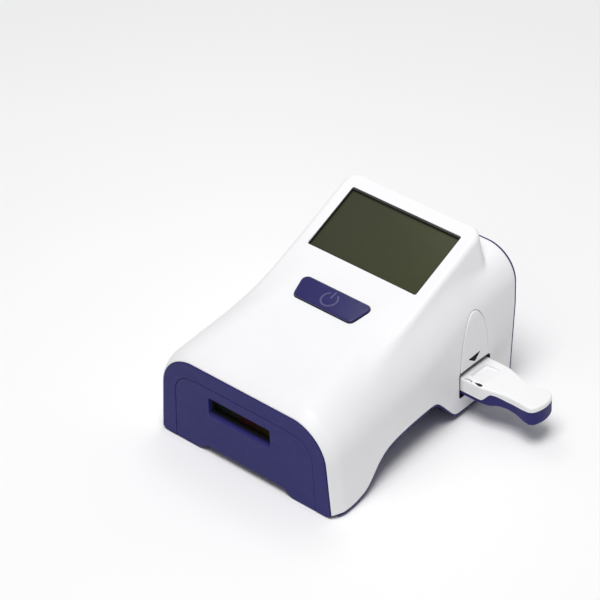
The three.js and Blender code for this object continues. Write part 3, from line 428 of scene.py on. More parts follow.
MATS = {}


def finish_piece(ob, name, mats, body, replaces=(), angle=32, bevel=0.0, seg=2):
    """Names the piece, brings it to metres, sets materials and shading, and ties it to the frame."""
    if bevel:
        mod = ob.modifiers.new("edge", "BEVEL")
        mod.width, mod.segments, mod.limit_method, mod.angle_limit = bevel, seg, "ANGLE", math.radians(38)
        baked(ob)
    me = ob.data
    me.transform(Matrix.Scale(0.001, 4) @ Matrix.Translation(-Vector(ORIGIN)))
    me.materials.clear()
    for m in mats:
        me.materials.append(MATS[m])
    me.shade_smooth()
    me.set_sharp_from_angle(angle=math.radians(angle))
    me.update()
    even = ob.modifiers.new("even", "WEIGHTED_NORMAL")
    even.mode, even.weight, even.keep_sharp = "FACE_AREA", 50, True
    baked(ob)
    me = ob.data
    ob.name = name
    me.name = name
    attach(ob, body)
    if replaces:
        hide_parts(*replaces)
    return ob


def piece(name, shape, mats, body, replaces=(), angle=32, cut=(), bevel=0.0, seg=2):
    ob = fix(to_object(shape, name)) if isinstance(shape, Shape) else shape
    if cut:
        carve(ob, cut)
    return finish_piece(ob, name, mats if isinstance(mats, (list, tuple)) else [mats], body, replaces, angle, bevel, seg)


def box(x0, x1, y0, y1, z0, z1, r=0.0, m=0, seg=2):
    """An upright block with rounded upright edges and, with r, rounded ends."""
    cx, cy = (x0 + x1) / 2, (y0 + y1) / 2
    return plate(rect((x1 - x0) / 2, (y1 - y0) / 2, r, max(2, seg), cx, cy) if r else rect((x1 - x0) / 2, (y1 - y0) / 2, 0, 1, cx, cy), fillet(z0, z1, r * 0.7, r * 0.7, seg), Matrix(), (), m)


def cyl(r, z0, z1, M=Matrix(), n=32, edge=0.2, m=0, hole=None):
    holes = [] if hole is None else [(circle(hole, n), [(0, z0)] * 0 + [(s[0] * -1, s[1]) for s in fillet(z0, z1, edge, edge, 2)])]
    return plate(circle(r, n), fillet(z0, z1, edge, edge, 2), M, holes, m)


def full(ys, inset, low, toe=0.0, m=0):
    """Everything inside one inset of the outer form, between the first and last station."""
    ys = np.asarray(ys, float)
    loops = arc(profile(ys, inset, low, toe))
    n = loops.shape[1]
    s = Shape()
    v = np.concatenate([loops[..., :1], np.repeat(ys[:, None, None], n, 1), loops[..., 1:]], -1).reshape(-1, 3)
    f = [(j * n + i, (j + 1) * n + i, (j + 1) * n + (i + 1) % n, j * n + (i + 1) % n) for j in range(len(ys) - 1) for i in range(n)]
    e = (len(ys) - 1) * n
    h = (n - 1) // 2
    for i in range(h):
        a, b, c, d = i, i + 1, n - 2 - i, n - 1 - i
        front = (a, b, c, d) if b != c else (a, b, d)
        f.append(front)
        f.append(tuple(e + k for k in front[::-1]))
    return s.add(v, f, m)


def spaced(*parts):
    """Stations from (start, end, step) runs, each end left to the next run's start."""
    out = []
    for a, b, step in parts:
        out.extend(np.linspace(a, b, max(1, round((b - a) / step)), endpoint=False))
    return np.array(out + [parts[-1][1]])


def sliced(shape, axis, cuts):
    """The shape with its faces divided at these places along one axis."""
    ob = fix(to_object(shape, "sliced"))
    bm = bmesh.new()
    bm.from_mesh(ob.data)
    no = [0, 0, 0]
    no[axis] = 1
    for c in cuts:
        co = [0, 0, 0]
        co[axis] = c
        bmesh.ops.bisect_plane(bm, geom=bm.verts[:] + bm.edges[:] + bm.faces[:], plane_co=co, plane_no=no, dist=1e-5)
    bmesh.ops.triangulate(bm, faces=bm.faces[:])
    s = Shape()
    s.v = [tuple(v.co) for v in bm.verts]
    bm.verts.index_update()
    s.f = [tuple(v.index for v in f.verts) for f in bm.faces]
    s.m = [f.material_index for f in bm.faces]
    bm.free()
    bpy.data.objects.remove(ob)
    return s


def on_side(shape, step=1.3):
    """A shape drawn flat, with x as Y, y as Z and z as height, laid on the curved right side."""
    v = np.array(shape.v)
    s = sliced(shape, 0, np.arange(v[:, 0].min() + step / 2, v[:, 0].max(), step))
    s = sliced(s, 1, np.arange(v[:, 1].min() + step / 2, v[:, 1].max(), step))
    v = np.array(s.v)
    x = surface_x(v[:, 0], v[:, 1]) + v[:, 2]
    s.v = [tuple(p) for p in np.stack([x, v[:, 0], v[:, 1]], -1)]
    return s


# ---------------------------------------------------------------- materials
def lin(r, g, b):
    return [c / 12.92 if c <= 0.04045 else ((c + 0.055) / 1.055) ** 2.4 for c in (r / 255, g / 255, b / 255)] + [1.0]


class Mat:
    """Node material with the object's own coordinates."""

    def __init__(self, name):
        self.m = bpy.data.materials.new(name)
        self.m.use_nodes = True
        self.t = self.m.node_tree
        self.bsdf = self.t.nodes["Principled BSDF"]
        self.co = self.t.nodes.new("ShaderNodeTexCoord").outputs["Object"]
        MATS[name] = self.m

    def node(self, kind, **sets):
        n = self.t.nodes.new("ShaderNode" + kind)
        for k, v in sets.items():
            if hasattr(n, k):
                setattr(n, k, v)
            else:
                n.inputs[k.replace("_", " ")].default_value = v
        return n

    def link(self, a, b):
        self.t.links.new(a, b)

    def noise(self, scale, detail=3.0, rough=0.55, stretch=None):
        n = self.node("TexNoise", Scale=scale, Detail=detail, Roughness=rough)
        src = self.co
        if stretch:
            mp = self.node("Mapping")
            mp.inputs["Scale"].default_value = stretch
            self.link(src, mp.inputs["Vector"])
            src = mp.outputs["Vector"]
        self.link(src, n.inputs["Vector"])
        return n.outputs["Fac"]

    def remap(self, src, a, b, c, d):
        n = self.node("MapRange")
        for k, v in zip(("From Min", "From Max", "To Min", "To Max"), (a, b, c, d)):
            n.inputs[k].default_value = v
        self.link(src, n.inputs["Value"])
        return n.outputs["Result"]

    def math(self, op, a, b=None):
        n = self.node("Math", operation=op)
        for i, v in enumerate((a, b)):
            if v is None:
                continue
            if isinstance(v, (int, float)):
                n.inputs[i].default_value = v
            else:
                self.link(v, n.inputs[i])
        return n.outputs[0]

    def ramp(self, src, stops):
        n = self.node("ValToRGB")
        e = n.color_ramp.elements
        while len(e) < len(stops):
            e.new(0.5)
        for i, (p, c) in enumerate(stops):
            e[i].position, e[i].color = p, c
        self.link(src, n.inputs["Fac"])
        return n.outputs["Color"]

    def mix(self, fac, a, b, blend="MIX"):
        n = self.node("Mix", data_type="RGBA", blend_type=blend)
        if isinstance(fac, (int, float)):
            n.inputs[0].default_value = fac
        else:
            self.link(fac, n.inputs[0])
        for s, v in ((n.inputs[6], a), (n.inputs[7], b)):
            if isinstance(v, (list, tuple)):
                s.default_value = v
            else:
                self.link(v, s)
        return n.outputs[2]

    def base(self, v):
        if isinstance(v, (list, tuple)):
            self.bsdf.inputs["Base Color"].default_value = v
        else:
            self.link(v, self.bsdf.inputs["Base Color"])

    def rough(self, v):
        if isinstance(v, (int, float)):
            self.bsdf.inputs["Roughness"].default_value = v
        else:
            self.link(v, self.bsdf.inputs["Roughness"])

    def set(self, **k):
        for a, v in k.items():
            self.bsdf.inputs[a.replace("_", " ")].default_value = v

    def bump(self, *layers):
        """Bump from (height, distance in metres) layers."""
        prev = None
        for h, dist in layers:
            n = self.node("Bump")
            n.inputs["Strength"].default_value = 1.0
            n.inputs["Distance"].default_value = dist
            self.link(h, n.inputs["Height"])
            if prev:
                self.link(prev, n.inputs["Normal"])
            prev = n.outputs["Normal"]
        self.link(prev, self.bsdf.inputs["Normal"])


def shade(c, k):
    return [min(1.0, v * k) for v in c[:3]] + [1.0]


def moulded(name, colour, rough, grain=2400, depth=0.000012, vary=0.035, spread=0.05, wave=0.00003, **sets):
    """Injection-moulded plastic: a fine spark-eroded grain, a faint long wave, and slight unevenness of tone."""
    m = Mat(name)
    tone = m.noise(38, 4, 0.6)
    m.base(m.mix(m.remap(tone, 0.3, 0.7, 0, 1), shade(colour, 1 - vary), shade(colour, 1 + vary)))
    m.rough(m.remap(m.noise(260, 3, 0.6), 0.3, 0.7, rough - spread, rough + spread))
    m.bump((m.noise(55, 2, 0.5), wave), (m.noise(grain, 2, 0.65), depth))
    m.set(**sets)
    return m


WHITE = [0.86, 0.86, 0.87, 1]
VIOLET = [0.0252, 0.0230, 0.142, 1]
moulded("white_shell", WHITE, 0.46, vary=0.012, wave=0.000016, IOR=1.46, Specular_IOR_Level=0.36)
moulded("white_device", [0.90, 0.90, 0.905, 1], 0.36, 3200, 0.000007, 0.01, 0.04, 0.000012, IOR=1.5)
moulded("violet_plastic", VIOLET, 0.5, 2000, 0.000012, 0.05, 0.05, 0.00002, IOR=1.46, Specular_IOR_Level=0.2)
moulded("violet_key", [0.0212, 0.0192, 0.112, 1], 0.21, 2600, 0.000004, 0.04, 0.04, 0.000012, IOR=1.5, Specular_IOR_Level=0.42)
# the power symbol is lighter than the key as a painted highlight on its raised strokes
moulded("symbol_ink", [0.085, 0.078, 0.20, 1], 0.4, 3200, 0.000004, 0.03, 0.04, 0.000004, IOR=1.46)
moulded("black_plastic", lin(30, 30, 33), 0.5, 1800, 0.00002, 0.12, 0.08, 0.00002)
moulded("navy_ink", lin(13, 12, 27), 0.6, 5200, 0.000003, 0.06, 0.05, 0.000002, Specular_IOR_Level=0.12)
moulded("black_ink", lin(17, 16, 18), 0.5, 5200, 0.000003, 0.08, 0.05, 0.000002)
moulded("mark_ink", lin(140, 140, 146), 0.55, 5200, 0.000003, 0.06, 0.05, 0.000002)
moulded("amber", lin(181, 118, 42), 0.45, 900, 0.000004, 0.08, 0.08, 0.00001)


def rubber():
    m = Mat("foot_rubber")
    c = lin(36, 36, 39)
    m.base(m.mix(m.remap(m.noise(420, 5, 0.7), 0.35, 0.7, 0, 1), shade(c, 0.8), shade(c, 1.35)))
    m.rough(m.remap(m.noise(800, 3), 0.3, 0.7, 0.78, 0.92))
    m.bump((m.noise(1500, 4, 0.7), 0.00006))


def brushed(name="steel", colour=(0.62, 0.63, 0.645, 1)):
    m = Mat(name)
    n = m.noise(900, 3, 0.6, (1, 1, 0.08))
    m.base(m.mix(m.remap(n, 0.3, 0.7, 0, 1), shade(colour, 0.88), shade(colour, 1.08)))
    m.rough(m.remap(n, 0.3, 0.7, 0.22, 0.38))
    m.set(Metallic=1.0)
    m.bump((n, 0.000006))


def board():
    """Solder mask over copper: pads, tracks and a grain of glass cloth."""
    m = Mat("circuit_board")
    v = m.node("TexVoronoi", feature="DISTANCE_TO_EDGE", Scale=420.0)
    m.link(m.co, v.inputs["Vector"])
    br = m.node("TexBrick", offset=0.5, Scale=260.0)
    br.inputs["Mortar Size"].default_value = 0.06
    br.inputs["Color1"].default_value = (0, 0, 0, 1)
    br.inputs["Color2"].default_value = (0.35, 0.35, 0.35, 1)
    br.inputs["Mortar"].default_value = (1, 1, 1, 1)
    m.link(m.co, br.inputs["Vector"])
    mask, track, pad = lin(22, 84, 54), lin(40, 118, 78), lin(190, 178, 120)
    c = m.mix(br.outputs["Color"], mask, track)
    c = m.mix(m.remap(v.outputs["Distance"], 0.36, 0.4, 0, 1), c, pad)
    m.base(c)
    m.rough(m.remap(m.noise(900, 2), 0.3, 0.7, 0.3, 0.45))
    m.bump((br.outputs["Fac"], 0.00003))


def dark_glass():
    """Dark glass, near black; its tint drifting along the length, greenish through reddish to olive, is painted
    reflection.
    """
    m = Mat("dark_glass")
    sep = m.node("SeparateXYZ")
    m.link(m.co, sep.inputs["Vector"])
    t = m.remap(m.math("ADD", sep.outputs["X"], m.remap(m.noise(120, 2), 0.3, 0.7, -0.0015, 0.0015)), -0.0425, -0.0025, 0, 1)
    # painted reflection: the colour drifts along x from greenish through reddish to olive
    m.base(m.ramp(t, [(0.0, (0.010, 0.015, 0.010, 1)), (0.3, (0.014, 0.016, 0.010, 1)), (0.5, (0.040, 0.008, 0.008, 1)), (0.66, (0.028, 0.010, 0.007, 1)), (0.82, (0.026, 0.023, 0.006, 1)), (1.0, (0.030, 0.028, 0.005, 1))]))
    m.rough(m.remap(m.noise(500, 2), 0.3, 0.7, 0.07, 0.13))
    m.set(IOR=1.5, Specular_IOR_Level=0.12)
    m.bump((m.noise(40, 1), 0.000004))


def display_front():
    """Unlit reflective display under a clear window: olive, a little lighter towards the right as painted light, with
    the faint grid of its cells.
    """
    m = Mat("display_front")
    sep = m.node("SeparateXYZ")
    m.link(m.co, sep.inputs["Vector"])
    t = m.remap(m.math("ADD", sep.outputs["X"], m.remap(m.noise(30, 2), 0.3, 0.7, -0.002, 0.002)), -0.055, 0.0145, 0, 1)
    # painted light: the olive lightens slightly from left to right
    c = m.ramp(t, [(0.0, (0.041, 0.044, 0.0235, 1)), (0.5, (0.0425, 0.0465, 0.0225, 1)), (1.0, (0.044, 0.049, 0.019, 1))])
    br = m.node("TexBrick", offset=0.0, Scale=900.0)
    br.inputs["Mortar Size"].default_value = 0.03
    br.inputs["Brick Width"].default_value = 0.5
    br.inputs["Row Height"].default_value = 0.5
    m.link(m.co, br.inputs["Vector"])
    m.base(m.mix(m.math("MULTIPLY", br.outputs["Fac"], 0.015), c, (0.039, 0.043, 0.021, 1)))
    m.rough(m.remap(m.noise(240, 2), 0.3, 0.7, 0.27, 0.30))
    m.set(IOR=1.45, Specular_IOR_Level=0.3)
    m.bump((m.noise(24, 1), 0.00001))


def wrap_film():
    m = Mat("battery_wrap")
    c = lin(42, 95, 165)
    m.base(m.mix(m.remap(m.noise(90, 4), 0.3, 0.7, 0, 1), shade(c, 0.85), shade(c, 1.12)))
    m.rough(m.remap(m.noise(300, 3), 0.3, 0.7, 0.22, 0.4))
    m.bump((m.noise(140, 3, 0.6, (0.3, 1, 1)), 0.00008))


def paper():
    m = Mat("strip")
    m.base(m.mix(m.remap(m.noise(1800, 5, 0.7), 0.3, 0.7, 0, 1), lin(228, 224, 212), lin(246, 243, 234)))
    m.rough(0.9)
    m.bump((m.noise(2600, 4, 0.7), 0.00003))


rubber()
brushed()
board()
dark_glass()
display_front()
wrap_film()
paper()


# ---------------------------------------------------------------- cover
Y_ARCH = spaced((14, 20, 1.2), (20, 46, 0.72), (46, 54, 1.2), (54, 77, 1.9), (77, 100, 0.7))
ys = np.concatenate([
    spaced((COVER_Y0, 1.1, 0.1), (1.1, 8, 0.5), (8, 14, 1.2))[:-1], Y_ARCH[:-1],
    spaced((100, 122.6, 1.3), (122.6, 126, 0.6), (126, 132.2, 0.32), (132.2, 138, 0.8), (138, COVER_Y1, 0.2)),
])
outer_inset = tuck(ys) + edge_round(ys - COVER_Y0, 0.6) * 0.8 + edge_round(COVER_Y1 - ys, 1.4) * 0.6
outer = fix(to_object(full(ys, outer_inset, edge_z(ys), 0.55), "cover"))
yi = np.concatenate([spaced((-1.5, 0.6, 1.0), (0.6, 3.6, 0.75), (3.6, 9, 1.0), (9, 14, 2.5))[:-1], Y_ARCH[::2], spaced((101.5, 128, 2.4), (128, 134, 1.0), (134, 141.5, 1.5))])
inner_inset = np.where(yi < 9, 2.9 + (WALL - 2.9) * smooth((yi - 3.6) / 5.4), WALL)
inner = full(yi, inner_inset, np.full(len(yi), -4.0))
carve(outer, [inner])

cuts = [
    plate(rect(DISPLAY_W / 2, DISPLAY_H / 2, 0.9, 10), flare(-5.0, 0.0, 0.18), DISPLAY),
    plate(rect(DISPLAY_W / 2 + 2.2, DISPLAY_H / 2 + 2.2, 1.6, 5), [(0, -9.5), (0, -1.5)], DISPLAY),
    plate(key_outline(0.35, 2.8), flare(-6.0, 0.0, 0.14), KEY),
]
cuts.append(on_side(plate(bullet_outline(110, 20.5), [(0.0, -1.0), (0.0, -0.25), (0.08, -0.1), (0.22, 0.0), (0.3, 0.02), (0.3, 3.0)])))
cuts.append(plate(slot_outline(LINER + 0.06), [(0, -5), (0, 5)], shift(50, 0, 0) @ RIGHT))
carve(outer, cuts)

BOSSES = [(-52.0, 21), (52.0, 21), (-46.8, 129), (46.8, 129)]
trim = full(spaced((12, 30, 2), (30, 118, 8), (118, 138, 2)), 1.2, np.full(len(spaced((12, 30, 2), (30, 118, 8), (118, 138, 2))), 3.0))
for x, y in BOSSES:
    boss = fix(to_object(cyl(3.4, 5.2, 30, shift(x, y, 0), 40, 0.2), "boss"))
    carve(boss, [box(min(x, x * 1.15), max(x, x * 1.15), y - 1.2, y + 1.2, 5.2, 30)], "UNION")
    t = fix(to_object(trim, "trim"))
    carve(boss, [t], "INTERSECT")
    carve(outer, [boss], "UNION")
    carve(outer, [cyl(1.25, 0, 14.5, shift(x, y, 0), 24, 0.0)])
for x in (-26, 26):
    carve(outer, [cyl(2.1, -11.4, -1.6, KEY @ shift(x, 0, 0), 32, 0.15)], "UNION")
    carve(outer, [cyl(0.95, -13.4, -5.4, KEY @ shift(x, 0, 0), 24, 0.0)])
for x in (-31, 31):
    carve(outer, [cyl(1.6, -7.4, -1.4, DISPLAY @ shift(x, -23.3, 0), 32, 0.1)], "UNION")
    carve(outer, [cyl(0.8, -9.2, -3.2, DISPLAY @ shift(x, -23.3, 0), 24, 0.0)])
piece("cover_shell", outer, "white_shell", "housing", ["cover"], 30)

# ---------------------------------------------------------------- arch plate over the slot, and the slot's black liner, whose black is partly painted shade inside the slot
FOOT_Z = SLOT_Z1 + LINER + 0.12
top = plate(bullet_outline(110, FOOT_Z), [(-0.35, -0.7)] + [(-0.35 + g, h) for g, h in fillet(-0.7, 0.4, 0, 0.4)[1:]])
arch_plate = on_side(top, 1.1)
piece("arch_plate", arch_plate, "white_shell", "housing", ["slot_bezel"], 30)
# the liner is black plastic and also stands in as painted shade for the dark gap around the device
liner = plate(slot_outline(LINER), [(0, -3.6), (0, -0.12), (-0.05, -0.03), (-0.15, 0.0)], Matrix(), [(slot_outline(0.0), [(0, -3.6), (0, -0.3), (0.08, -0.08), (0.25, 0.0)])])
piece("slot_liner_look", on_side(liner, 1.6), "black_plastic", "housing", ["slot_liner"], 30)
arrow = plate(rounded([[104.9, 30.5], [110.2, 26.8], [114.3, 31.1]], 0.25, 4), [(0, 0.3), (0, 0.42), (-0.03, 0.44)])
piece("arrow_mark", on_side(arrow, 1.5), "navy_ink", "housing", [], 30)

# ---------------------------------------------------------------- base
def base_section(y):
    z = edge_z(y) - 1.2
    lip = side_x(y, z) - tuck(y) - 0.3
    wall = side_x(y, z + 4) - WALL - np.where(y < 9, 0.9 - 0.5 * (y - 4.2) / 4.8, 0.4)
    p = [(lip - 0.22, z), (lip - 0.07, z + 0.06), (lip, z + 0.2), (lip, z + 0.72), (lip - 0.05, z + 0.84), (lip - 0.16, z + 0.9),
         (wall + 0.15, z + 0.9), (wall, z + 1.05), (wall, z + 6.5), (wall - 0.2, z + 6.7), (wall - 1.6, z + 6.7), (wall - 1.8, z + 6.5), (wall - 1.8, z + 3.0), (wall - 2.1, z + 2.7)]
    q = [(wall - 14, z + 2.7), (wall - 26, z + 2.7)]
    return np.array([[a, b] for a, b in p + q])


yb = np.unique(np.concatenate([spaced((3.5, 9, 1.1), (9, 14, 1.7)), Y_ARCH, spaced((100, 134.6, 2.4))]))
half = np.array([base_section(y) for y in yb])
whole = np.concatenate([half, half[:, ::-1] * np.array([-1, 1])], 1)
n = whole.shape[1]
tray = Shape()
verts = np.concatenate([whole[..., :1], np.repeat(yb[:, None, None], n, 1), whole[..., 1:]], -1).reshape(-1, 3)
faces = [(j * n + i, (j + 1) * n + i, (j + 1) * n + (i + 1) % n, j * n + (i + 1) % n) for j in range(len(yb) - 1) for i in range(n)]
for j, top_ in ((0, False), (len(yb) - 1, True)):
    for t in tessellate_polygon([[Vector((p[0], p[1], 0)) for p in whole[j]]]):
        faces.append(tuple(j * n + i for i in t))
tray.add(verts, faces)
tray = fix(to_object(tray, "tray"))
FEET = [("front_left", -34, 14), ("front_right", 34, 14), ("rear_left", -32, 127), ("rear_right", 32, 127)]
cuts = [cyl(6.3, -3, 0.9, shift(x, y, 0), 48, 0.0) for _, x, y in FEET]
for x, y in BOSSES:
    cuts += [cyl(3.8, 4.9, 20, shift(x, y, 0), 40, 0.0), cyl(3.4, -3, 1.1, shift(x, y, 0), 40, 0.0), cyl(1.9, -3, 6, shift(x, y, 0), 32, 0.0)]
cuts.append(box(44, 60, SLOT_Y0 - 1.8, SLOT_Y1 + 1.8, 5.6, 30))
carve(tray, [box(-32.5, 32.5, 3.8, 9.6, -0.5, 4.4)], "UNION")
carve(tray, [box(-NOTCH_OUT, NOTCH_OUT, 3, 7.6, -3, NOTCH_Z)])
carve(tray, cuts)
POSTS = [(-40, 52), (40, 52), (-40, 91.6), (40, 91.6)]
for x, y in POSTS:
    z0 = float(edge_z(y))
    carve(tray, [cyl(2.6, z0, 41.6, shift(x, y, 0), 32, 0.15)], "UNION")
    carve(tray, [cyl(1.1, 32, 43, shift(x, y, 0), 24, 0.0)])
piece("base_tray", tray, "violet_plastic", "housing", ["base"], 30)

for name, x, y in FEET:
    f = plate(circle(6.0, 64), fillet(TABLE_Z, 0.6, 0.35, 0.1, 4), shift(x, y, 0))
    groove = plate(circle(4.3, 64), [(0, -4), (0, -1.85), (-0.12, -1.75)], shift(x, y, 0), [(circle(3.5, 64), [(0, -4), (0, -1.85), (0.12, -1.75)])])
    piece("rubber_foot_" + name, f, "foot_rubber", "housing", ["foot_" + name], 30, [groove])


def socket_screw(name, node, M, head, shank, head_h, length, recess, mat="steel"):
    """Pan-head screw, head up along local z, with a cross recess."""
    s = plate(circle(head, 40), [(0, 0), (0, head_h * 0.45), (-head * 0.06, head_h * 0.68), (-head * 0.2, head_h * 0.9), (-head * 0.42, head_h)], M)
    ob = fix(to_object(s, name))
    turns = max(3, int(length / 0.9))
    st = [(0, -length), (shank * 0.1, -length + 0.2)]
    z = -length + 0.5
    while z < -0.7:
        st += [(shank * 0.02 - shank * 0.2, z), (shank * 0.0, z + 0.3), (shank * -0.2, z + 0.6)]
        z += 0.6
    st += [(-shank * 0.2, 0.2)]
    carve(ob, [fix(to_object(plate(circle(shank, 24), st, M), "shank"))], "UNION")
    for turn in (0, 1):
        w, l = head * 0.13, head * 0.5
        o = rect(l, w, w * 0.5, 3) if turn == 0 else rect(w, l, w * 0.5, 3)
        carve(ob, [plate(o, [(-w * 0.3, head_h - recess), (0, head_h + 1)], M)])
    return piece(name, ob, mat, frame["nodes"][node]["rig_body"], [node], 30)


for i, (x, y) in enumerate(BOSSES):
    socket_screw("case_screw_look_%d" % (i + 1), "case_screw_%d" % (i + 1), shift(x, y, 1.05) @ DOWN, 2.8, 1.0, 1.6, 11.0, 0.9)
for i, (x, y) in enumerate(POSTS):
    socket_screw("board_screw_look_%d" % (i + 1), "board_screw_%d" % (i + 1), shift(x, y, 43.75), 2.2, 0.85, 1.5, 7.7, 0.8)

# ---------------------------------------------------------------- front bezel and module face
o0 = arc(profile([COVER_Y0], [FRONT_INSET], [PLATE_Z + 1.65]))[0]
corner = np.array([[-5.0, 0.0], [-3.9, 0.09], [-2.8, 0.28], [-1.9, 0.55], [-1.2, 0.85], [-0.5, 1.27]]) + np.array([o0[0, 0], PLATE_Z])
o0 = np.concatenate([corner, o0, corner[::-1] * np.array([-1, 1])])
GAP = (0.07, 0.17)  # seam between the frame and the module's face, right and left


def face_loop(g, n=84):
    """Outline of the module's face, from its lower right corner over the top to the lower left, moved out by
    g; a pair of values runs from right to left."""
    pts = np.array(FACE)
    t = np.concatenate([[0], np.cumsum(np.hypot(*np.diff(pts, axis=0).T))])
    q = np.linspace(0, t[-1], n)
    h = np.stack([table(np.stack([t, pts[:, 0]], -1), q), table(np.stack([t, pts[:, 1]], -1), q)], -1)
    d = np.gradient(h, axis=0)
    d /= np.linalg.norm(d, axis=1)[:, None]
    d[0], d[-1] = (0, 1), (-1, 0)
    h[0, 1], h[-1, 0] = PLATE_Z, 0
    out = np.stack([d[:, 1], -d[:, 0]], -1)
    h, out = (np.concatenate([v, v[-2::-1] * np.array([-1, 1])]) for v in (h, out))
    k = np.interp(h[:, 0], (-40, 30), (g[1], g[0])) if isinstance(g, tuple) else np.full(len(h), g)
    return h + k[:, None] * out


bez = plate(np.concatenate([o0, face_loop(GAP)[::-1]]), [(0, -3.2), (0, -0.28), (-0.08, -0.1), (-0.26, 0.0)], FRONT)
piece("front_frame", bez, "violet_plastic", "housing", ["front_bezel"], 28)

face_outline = np.concatenate([[[-NOTCH_OUT, PLATE_Z], [-NOTCH_IN, NOTCH_Z], [NOTCH_IN, NOTCH_Z], [NOTCH_OUT, PLATE_Z]], face_loop(0)])


def window_loop(gx, gz, r, left=0.0):
    """Outline of the window: gx wider on the right and left, gz lower, the left edge moved out by left alone."""
    x0, x1 = WINDOW_X - WINDOW_HALF - gx - left, WINDOW_X + WINDOW_HALF + gx
    return rounded([[x0, WINDOW_Z0 - gz], [x1, WINDOW_Z0 - gz], [x1, WINDOW_Z1 + min(gx, gz)], [x0, WINDOW_Z1 + min(gx, gz)]], r, 8)


mf = fix(to_object(plate(face_outline, [(0, -3.0), (0, -0.34), (-0.06, -0.17), (-0.2, -0.1)], FRONT), "face"))
pocket = Shape()
loops = [(window_loop(0, 0, 1.0), -6.0), (window_loop(0, 0, 1.0), -1.0), (window_loop(0.03, 0.5, 1.05), -0.42), (window_loop(0.1, 0.72, 1.1), -0.2), (window_loop(0.25, 0.9, 1.15), -0.1), (window_loop(0.32, 1.0, 1.2), -0.09), (window_loop(0.32, 1.0, 1.2), 3.0)]
k = len(loops[0][0])
pv = [(p[0], p[1], h) for l, h in loops for p in l]
pf = [(j * k + i, j * k + (i + 1) % k, (j + 1) * k + (i + 1) % k, (j + 1) * k + i) for j in range(len(loops) - 1) for i in range(k)]
pf += [tuple(range(k))[::-1], tuple((len(loops) - 1) * k + i for i in range(k))]
pocket.add([FRONT @ Vector(p) for p in pv], pf)
seat = plate(window_loop(2.3, 2.3, 1.2), [(0, -5), (0, -2.3)], FRONT)
carve(mf, [pocket, seat])
piece("module_front", mf, "violet_plastic", "scan_module", ["module_face"], 28)
piece("window_glass", plate(window_loop(2.0, 0.4, 1.0), fillet(-6.6, -5.2, 0.15, 0.15, 2), FRONT), "dark_glass", "scan_module", ["scan_window"], 28)

# ---------------------------------------------------------------- display
piece("display_window", plate(rect(DISPLAY_W / 2 + 1.9, DISPLAY_H / 2 + 1.9, 1.4, 8), fillet(-2.75, -1.75, 0.15, 0.2, 3), DISPLAY), "display_front", "housing", ["display_lens"], 28)

# a black surround inside the opening; its band along the upper edge is made wider as painted shade under the opening's
# upper lip
w, h = DISPLAY_W / 2 - 0.3, DISPLAY_H / 2 - 0.3
surround = plate(rect(w + 0.2, h + 0.2, 0.85, 8), fillet(-1.6, -0.3, 0.0, 0.1, 3), DISPLAY, [(rounded([[-w + 0.1, -h + 0.34], [w - 0.34, -h + 0.34], [w - 0.34, h - 0.8], [-w + 0.1, h - 0.8]], 0.4, 6), [(-g, z) for g, z in fillet(-1.6, -0.3, 0.0, 0.1, 3)])])
piece("display_surround", surround, "black_plastic", "housing", ["display_frame"], 28)

# ---------------------------------------------------------------- power key, with its raised symbol
KEY_TOP = 1.53
key_steps = [(0, -2.9), (0, KEY_TOP - 0.55)] + [(-0.55 * (1 - math.cos(a)), KEY_TOP - 0.55 + 0.55 * math.sin(a)) for a in np.linspace(0, math.pi / 2, 8)[1:]]
key = fix(to_object(plate(key_outline(0, 2.8, 16), key_steps, KEY), "key"))
carve(key, [plate(key_outline(1.2, 2.8, 8), fillet(-3.75, -2.6, 0.1, 0.1, 2), KEY), plate(rect(1.9, 1.9, 0.4, 4), [(0, -5.9), (0, -3.0)], KEY)], "UNION")


def band(points, w):
    """Outline of a line of constant width with round ends."""
    p = np.array(points, float)
    d = np.gradient(p, axis=0)
    d /= np.linalg.norm(d, axis=1)[:, None]
    nrm = np.stack([d[:, 1], -d[:, 0]], -1)
    a = np.linspace(-math.pi / 2, math.pi / 2, 9)[1:-1]
    end = [p[-1] + w * (math.cos(t) * d[-1] - math.sin(t) * nrm[-1]) * 1.0 for t in a]
    start = [p[0] + w * (-math.cos(t) * d[0] + math.sin(t) * nrm[0]) for t in a]
    return np.array(list(p + nrm * w) + end + list((p - nrm * w)[::-1]) + start)


arc_a = np.radians(np.linspace(90 + 34, 450 - 34, 61))
symbol = [band([[4.35 * math.cos(t), 4.35 * math.sin(t) - 0.3] for t in arc_a], 0.5), band([[0, 0.9 + 0.2 * i] for i in range(20)], 0.5)]
piece("power_key_cap", key, "violet_key", "power_key", ["power_key"], 32)
for name, o in zip(("power_symbol_ring", "power_symbol_bar"), symbol):
    o = o if (o[:, 0] * np.roll(o[:, 1], -1) - o[:, 1] * np.roll(o[:, 0], -1)).sum() > 0 else o[::-1]
    # the raised strokes carry a lighter colour as a painted highlight
    symbol_relief = plate(o, [(0.0, KEY_TOP - 0.3), (0.0, KEY_TOP + 0.06), (-0.05, KEY_TOP + 0.13), (-0.16, KEY_TOP + 0.16)], KEY)
    piece(name, symbol_relief, "symbol_ink", "power_key", [], 30)

